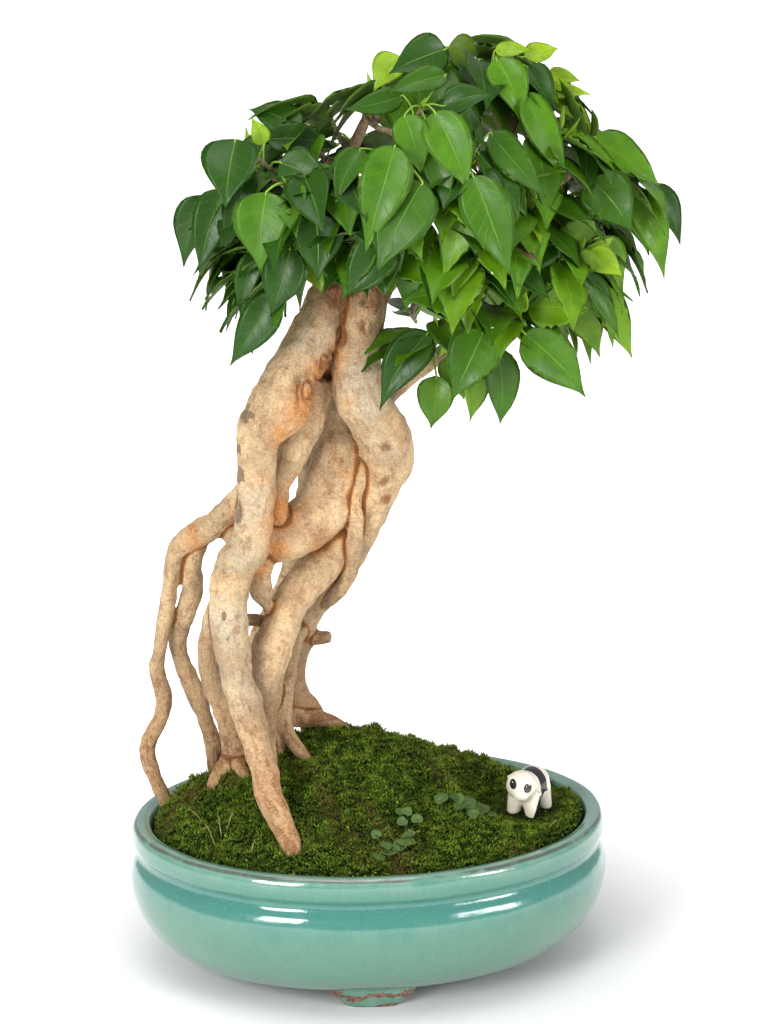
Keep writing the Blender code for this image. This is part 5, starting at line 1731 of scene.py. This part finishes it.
def weed_shape(places, seed):
    """Round shallow cups on thin stalks, two at each place of a creeping stem, which stops short
    of its last place."""
    chance = np.random.default_rng(seed)
    path = smooth_path(places, 3)[:-2] * (POT_LENGTH / 2, POT_WIDTH / 2)
    height = mound(path[:, 0], path[:, 1]) + cushions(path[:, 0], path[:, 1]) + 0.0022
    stem = np.column_stack([path, height, np.full(len(path), 0.0005)])
    parts = [disc_values(tube(stem + (*POT_MIDDLE, 0), 5))]
    for x, y in path:
        for _ in range(2):
            dx, dy = chance.normal(0, 0.0032, 2)
            ground = float(mound(np.array(x + dx), np.array(y + dy)))
            crown = np.array((x + dx, y + dy, ground + chance.uniform(0.0040, 0.0056)))
            foot_point = np.array((x, y, ground + 0.0015))
            rows = np.array([(*foot_point, 0.0003), (*(foot_point * 0.4 + crown * 0.6
                             + (0, 0, 0.0006)), 0.00028), (*crown, 0.00022)])
            parts.append(disc_values(tube(smooth_path(rows, 2) + (*POT_MIDDLE, 0), 5)))
            tilt = np.array((chance.uniform(-0.3, 0.3), chance.uniform(-0.75, -0.1), 1.0))
            parts.append(round_leaf(crown + POT_MIDDLE, chance.uniform(0.0022, 0.0040), tilt,
                                    chance.uniform(0, TAU), chance.random()))
    return joined(parts)


def disc_values(shape):
    """A stem or stalk with the round leaves' value, so that they can be joined."""
    shape["values"] = {"disc": np.tile((0.3, 0.0, 0.5), (len(shape["points"]), 1))}
    return shape


def round_leaf(centre, radius, facing, spin, tint):
    """A round leaf with a notch: rings of r (1 - notch) at height r^2, top and underside."""
    up = unit(facing)
    side = unit(np.cross(up, (math.cos(spin), math.sin(spin), 0.3)))
    other = np.cross(up, side)
    angle = np.arange(18) * TAU / 18
    shape = 1 + 0.05 * np.cos(3 * angle) - 0.25 * np.exp(-((angle - math.pi) / 0.35) ** 2)
    share = np.array([0.04, 0.35, 0.7, 1.0])[:, None]
    x, y = share * shape * np.cos(angle), share * shape * np.sin(angle)
    z = 0.22 * share ** 2 + 0 * x
    ups = np.stack([x, y, z], -1)
    downs = (ups - (0, 0, 0.07))[::-1]
    rings = np.concatenate([ups, downs])[::-1]
    made = domed(rings * radius @ np.stack([side, other, up]) + centre)
    reach = np.concatenate([np.repeat(share[:, 0], 18), np.repeat(share[::-1, 0], 18)])[::-1]
    made["values"] = {"disc": np.stack([np.append(reach, [0, 0]), np.append(
        np.tile(angle, 8) / TAU, [0, 0]), np.full(len(made["points"]), tint)], -1)}
    return made


def weed_material():
    """Dull green round leaves, paler at the edge."""
    def colour(tree):
        reach, _, tint = parts_of(tree, own(tree, "disc"))
        body = blend(tree, tint, (0.028, 0.070, 0.008, 1), (0.066, 0.118, 0.018, 1))
        body = blend(tree, span(tree, reach, 0.75, 1.0, 0.0, 0.4), body, (0.11, 0.17, 0.035, 1))
        return blend(tree, mottle(tree, place(tree), 380.0, 0.5, 0.7), body, (0.04, 0.09, 0.018, 1))

    def height(tree):
        return noise(tree, place(tree), 600.0, 3.0)

    return surface("weed_leaf", colour, uneven(300.0, 0.4, 0.6), height, 0.0003)


# ---------------------------------------------------------------- panda

HEAD_TURN = math.radians(-24)       # to the figure's left, seen from above


class BONSAI_OT_panda(bpy.types.Operator):
    """Make the glazed panda"""
    bl_idname = "bonsai.panda"
    bl_label = "China panda"

    def execute(self, context):
        chosen = context.scene.bonsai_figure
        panda = piece("china_panda", panda_shape(chosen.voxel), [china_material(chosen)])
        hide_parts("panda_figurine")
        return {"FINISHED"}


def panda_shape(voxel):
    """Ellipsoids and stub legs in one skin, in the figure's own units, then turned and placed.

    The body looks along -X. The head is turned, and the black glaze runs over the back and down
    one front leg.
    """
    c, s = math.cos(HEAD_TURN), math.sin(HEAD_TURN)
    head = np.array((-8.5, -0.6, 16.2))

    def on_head(x, y, z):
        return np.array((x * c + y * s, -x * s + y * c, z)) + head

    parts = [ball((3.4, 0, 13.5), (9.8, 8.0, 8.8), 20, 30), ball(head, (7.8, 7.9, 7.4), 20, 30),
             ball(on_head(-5.8, 0, -3.0), (3.2, 4.2, 3.0)), ball((12.6, 0, 14.5), (1.9, 2.0, 2.0))]
    parts += [ball(on_head(1.4, side * 5.9, 3.4), (1.4, 1.7, 1.4)) for side in (-1, 1)]
    for dx, dy in ((-6.4, -5.2), (-6.4, 5.2), (7.4, -4.8), (7.4, 4.8)):
        rows = np.array([(dx, dy, 0.6, 2.9), (dx, dy, 1.4, 3.5), (dx * 0.93, dy * 0.93, 4, 4.0),
                         (dx * 0.7, dy * 0.6, 11, 5.8)])
        parts.append(tube(smooth_path(rows, 3), 20))
    for part in parts:
        part["values"] = {}
    points, _, quads = remeshed(joined(parts), voxel / MM, 8)
    x, y, z = points.T
    ahead = (x - head[0]) * c - (y - head[1]) * s
    aside = (x - head[0]) * s + (y - head[1]) * c
    above = z - head[2]

    def spot(cy, cz, wide, tall, soft=0.12):
        far = np.hypot((aside - cy) / wide, (above - cz) / tall)
        return np.clip((1 - far) / soft, 0, 1) * (ahead < -1)

    eyes = np.maximum(spot(-3.4, 1.0, 2.0, 2.4), spot(3.8, 2.6, 1.9, 2.4))
    # Painted highlight: a cream glint left in each black eye.
    glints = np.maximum(spot(-2.9, 1.8, 0.35, 0.4, 0.4), spot(4.2, 3.4, 0.35, 0.4, 0.4))
    nose = 0.5 * spot(0.2, -2.2, 0.9, 0.5)
    band = np.clip((2.6 - np.abs(x - 1.3)) / 0.35, 0, 1) * (z > 11)
    outer = 0.63 * x - 0.78 * y - 0.33 * z + 0.3
    sleeve = np.clip(outer / 0.35, 0, 1) * ((x < 1.5) & (y < -1) & (z <= 11))
    mark = np.clip(1.2 - np.hypot((z - 4.6) / 2.2, (x + 7) / 2.0), 0, 1) * (y > 6.4)
    black = np.maximum.reduce([eyes * (1 - glints), nose, band, sleeve, mark])
    size = PANDA_LENGTH / PANDA_UNITS
    c, s = math.cos(PANDA_TURN), math.sin(PANDA_TURN)
    spin = np.array(((c, s, 0), (-s, c, 0), (0, 0, 1)))
    low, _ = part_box("panda_figurine")
    where = POT_MIDDLE + (*panda_spot(), low.z)
    points[:, 2] -= points[:, 2].min()
    return shell(points * size @ spin + where, quads, None, {"black": black})


def china_material(chosen):
    """Glossy cream china with black glaze, which thins a little at its edge."""
    def colour(tree):
        spot = place(tree)
        cream = blend(tree, mottle(tree, spot, 260.0, 0.4, 0.7), chosen.cream,
                      times(chosen.cream, 0.86))
        cream = blend(tree, flecks(tree, spot, 420.0, 0.12, 0.05), cream, (0.25, 0.18, 0.12, 1))
        edge = calc(tree, "ADD", own(tree, "black", "Fac"),
                    span(tree, noise(tree, spot, 700.0), 0.3, 0.7, -0.18, 0.18))
        return blend(tree, span(tree, edge, 0.35, 0.62), cream, chosen.black)

    def height(tree):
        return noise(tree, place(tree), 220.0, 2.0)

    return surface("china", colour, uneven(200.0, 0.06, 0.14), height, 0.0003, coat_weight=0.5,
                   coat_roughness=0.04)


# ---------------------------------------------------------------- stage

# Soft boxes round the middle: azimuth and elevation in degrees, distance, width and height
LIGHTS = (("left_box", -38, 19, 1.5, (0.5, 0.6)), ("right_box", 47, 15, 1.6, (0.46, 0.5)),
          ("top_box", -20, 72, 1.6, (1.0, 1.0)))
# From the pot's middle, in metres; lens in millimetres, roll in degrees
CAMERA_PLACE = (-0.1702, -1.4888, 0.6498)
CAMERA_TARGET = (0.0126, 0, 0.2524)
CAMERA_LENS = 101.8
CAMERA_ROLL = -0.5


class BONSAI_OT_stage(bpy.types.Operator):
    """Set the pale floor, the soft lights and the camera"""
    bl_idname = "bonsai.stage"
    bl_label = "Floor, lights and camera"

    def execute(self, context):
        chosen = context.scene.bonsai_stage
        floor = floor_piece(chosen)
        context.scene.world = white_surround(chosen.sky)
        context.scene.view_settings.view_transform = "Standard"
        aim = Vector(POT_MIDDLE) + Vector((0, 0, 0.2))
        powers = (chosen.key_power, chosen.fill_power, chosen.top_power)
        for (name, azimuth, elevation, far, size), power in zip(LIGHTS, powers):
            light = bpy.data.lights.new(name, "AREA")
            light.shape = "RECTANGLE"
            light.size, light.size_y = size
            light.energy = power
            lamp = bpy.data.objects.new(name, light)
            a, e = math.radians(azimuth), math.radians(elevation)
            way = Vector((math.sin(a) * math.cos(e), -math.cos(a) * math.cos(e), math.sin(e)))
            lamp.location = aim + way * far
            lamp.rotation_euler = way.to_track_quat("Z", "Y").to_euler()
            context.scene.collection.objects.link(lamp)
        lens = bpy.data.cameras.new("view")
        lens.lens = CAMERA_LENS
        lens.sensor_width = 36.0
        camera = bpy.data.objects.new("view", lens)
        context.scene.collection.objects.link(camera)
        eye = Vector(POT_MIDDLE) + Vector(CAMERA_PLACE)
        target = Vector(POT_MIDDLE) + Vector(CAMERA_TARGET)
        camera.location = eye
        turn = (eye - target).to_track_quat("Z", "Y").to_matrix()
        turn = turn @ Matrix.Rotation(math.radians(CAMERA_ROLL), 3, "Z")
        camera.rotation_euler = turn.to_euler()
        context.scene.camera = camera
        return {"FINISHED"}


def white_surround(strength):
    """A world that is seen white and lights the object softly."""
    world = bpy.data.worlds.new("white_surround")
    world.use_nodes = True
    tree = world.node_tree
    background = tree.nodes["Background"]
    background.inputs[0].default_value = (1, 1, 1, 1)
    seen = node(tree, "ShaderNodeLightPath").outputs["Is Camera Ray"]
    tree.links.new(span(tree, seen, 0.0, 1.0, strength, 1.0), background.inputs[1])
    return world


FLOOR_FADE = (0.05, 0.38)     # metres from the pot between which the floor turns into white light


def floor_piece(chosen):
    """A large flat disc at the height the feet stand on, which glows white far away as painted
    light.
    """
    mesh = bpy.data.meshes.new("floor")
    radius = 6.0
    angle = np.arange(64) * TAU / 64
    points = np.stack([radius * np.cos(angle), radius * np.sin(angle), 0 * angle], -1)
    mesh.from_pydata(points.tolist(), [], [tuple(range(64))])

    def colour(tree):
        return blend(tree, mottle(tree, place(tree), 3.0), chosen.floor,
                     times(chosen.floor, 0.985))

    # Painted light: the floor glows white from FLOOR_FADE's second distance on, with no glow next
    # to the pot.
    def glow(tree):
        away = node(tree, "ShaderNodeVectorMath", {0: place(tree)}, operation="LENGTH").outputs[1]
        shade = span(tree, away, FLOOR_FADE[0], FLOOR_FADE[1])
        return blend(tree, shade, (0, 0, 0, 1), (1, 1, 1, 1))

    material = surface("glowing_pale_floor", colour, uneven(4.0, 0.7, 0.8), specular_ior_level=0.1,
                       emission_strength=1.0)
    shader = material.node_tree.nodes["Principled BSDF"]
    material.node_tree.links.new(glow(material.node_tree), shader.inputs["Emission Color"])
    mesh.materials.append(material)
    obj = bpy.data.objects.new("floor", mesh)
    bpy.context.scene.collection.objects.link(obj)
    return obj


# ---------------------------------------------------------------- panel and running

OPERATORS = (BONSAI_OT_pot, BONSAI_OT_bedding, BONSAI_OT_moss, BONSAI_OT_tree, BONSAI_OT_leaves,
             BONSAI_OT_weeds, BONSAI_OT_panda, BONSAI_OT_stage)
SETTINGS = {"bonsai_pot": PotSettings, "bonsai_tree": TreeSettings, "bonsai_leaf": LeafSettings,
            "bonsai_moss": MossSettings, "bonsai_figure": FigureSettings,
            "bonsai_stage": StageSettings}


class BONSAI_PT_panel(bpy.types.Panel):
    """Sizes and colours of the bonsai, and a button for each group of pieces"""
    bl_idname = "BONSAI_PT_panel"
    bl_label = "Potted bonsai"
    bl_space_type = "VIEW_3D"
    bl_region_type = "UI"
    bl_category = "Bonsai"

    def draw(self, context):
        for key, group in SETTINGS.items():
            box = self.layout.box()
            for name in group.__annotations__:
                box.prop(getattr(context.scene, key), name)
        for operator in OPERATORS:
            self.layout.operator(operator.bl_idname)


def register():
    for group in (*SETTINGS.values(), *OPERATORS, BONSAI_PT_panel):
        bpy.utils.register_class(group)
    for key, group in SETTINGS.items():
        setattr(bpy.types.Scene, key, PointerProperty(type=group))


def unregister():
    for key in SETTINGS:
        delattr(bpy.types.Scene, key)
    for group in (BONSAI_PT_panel, *reversed(OPERATORS), *SETTINGS.values()):
        bpy.utils.unregister_class(group)


def main():
    register()
    for operator in OPERATORS:
        group, name = operator.bl_idname.split(".")
        getattr(getattr(bpy.ops, group), name)()


if __name__ == "__main__":
    main()
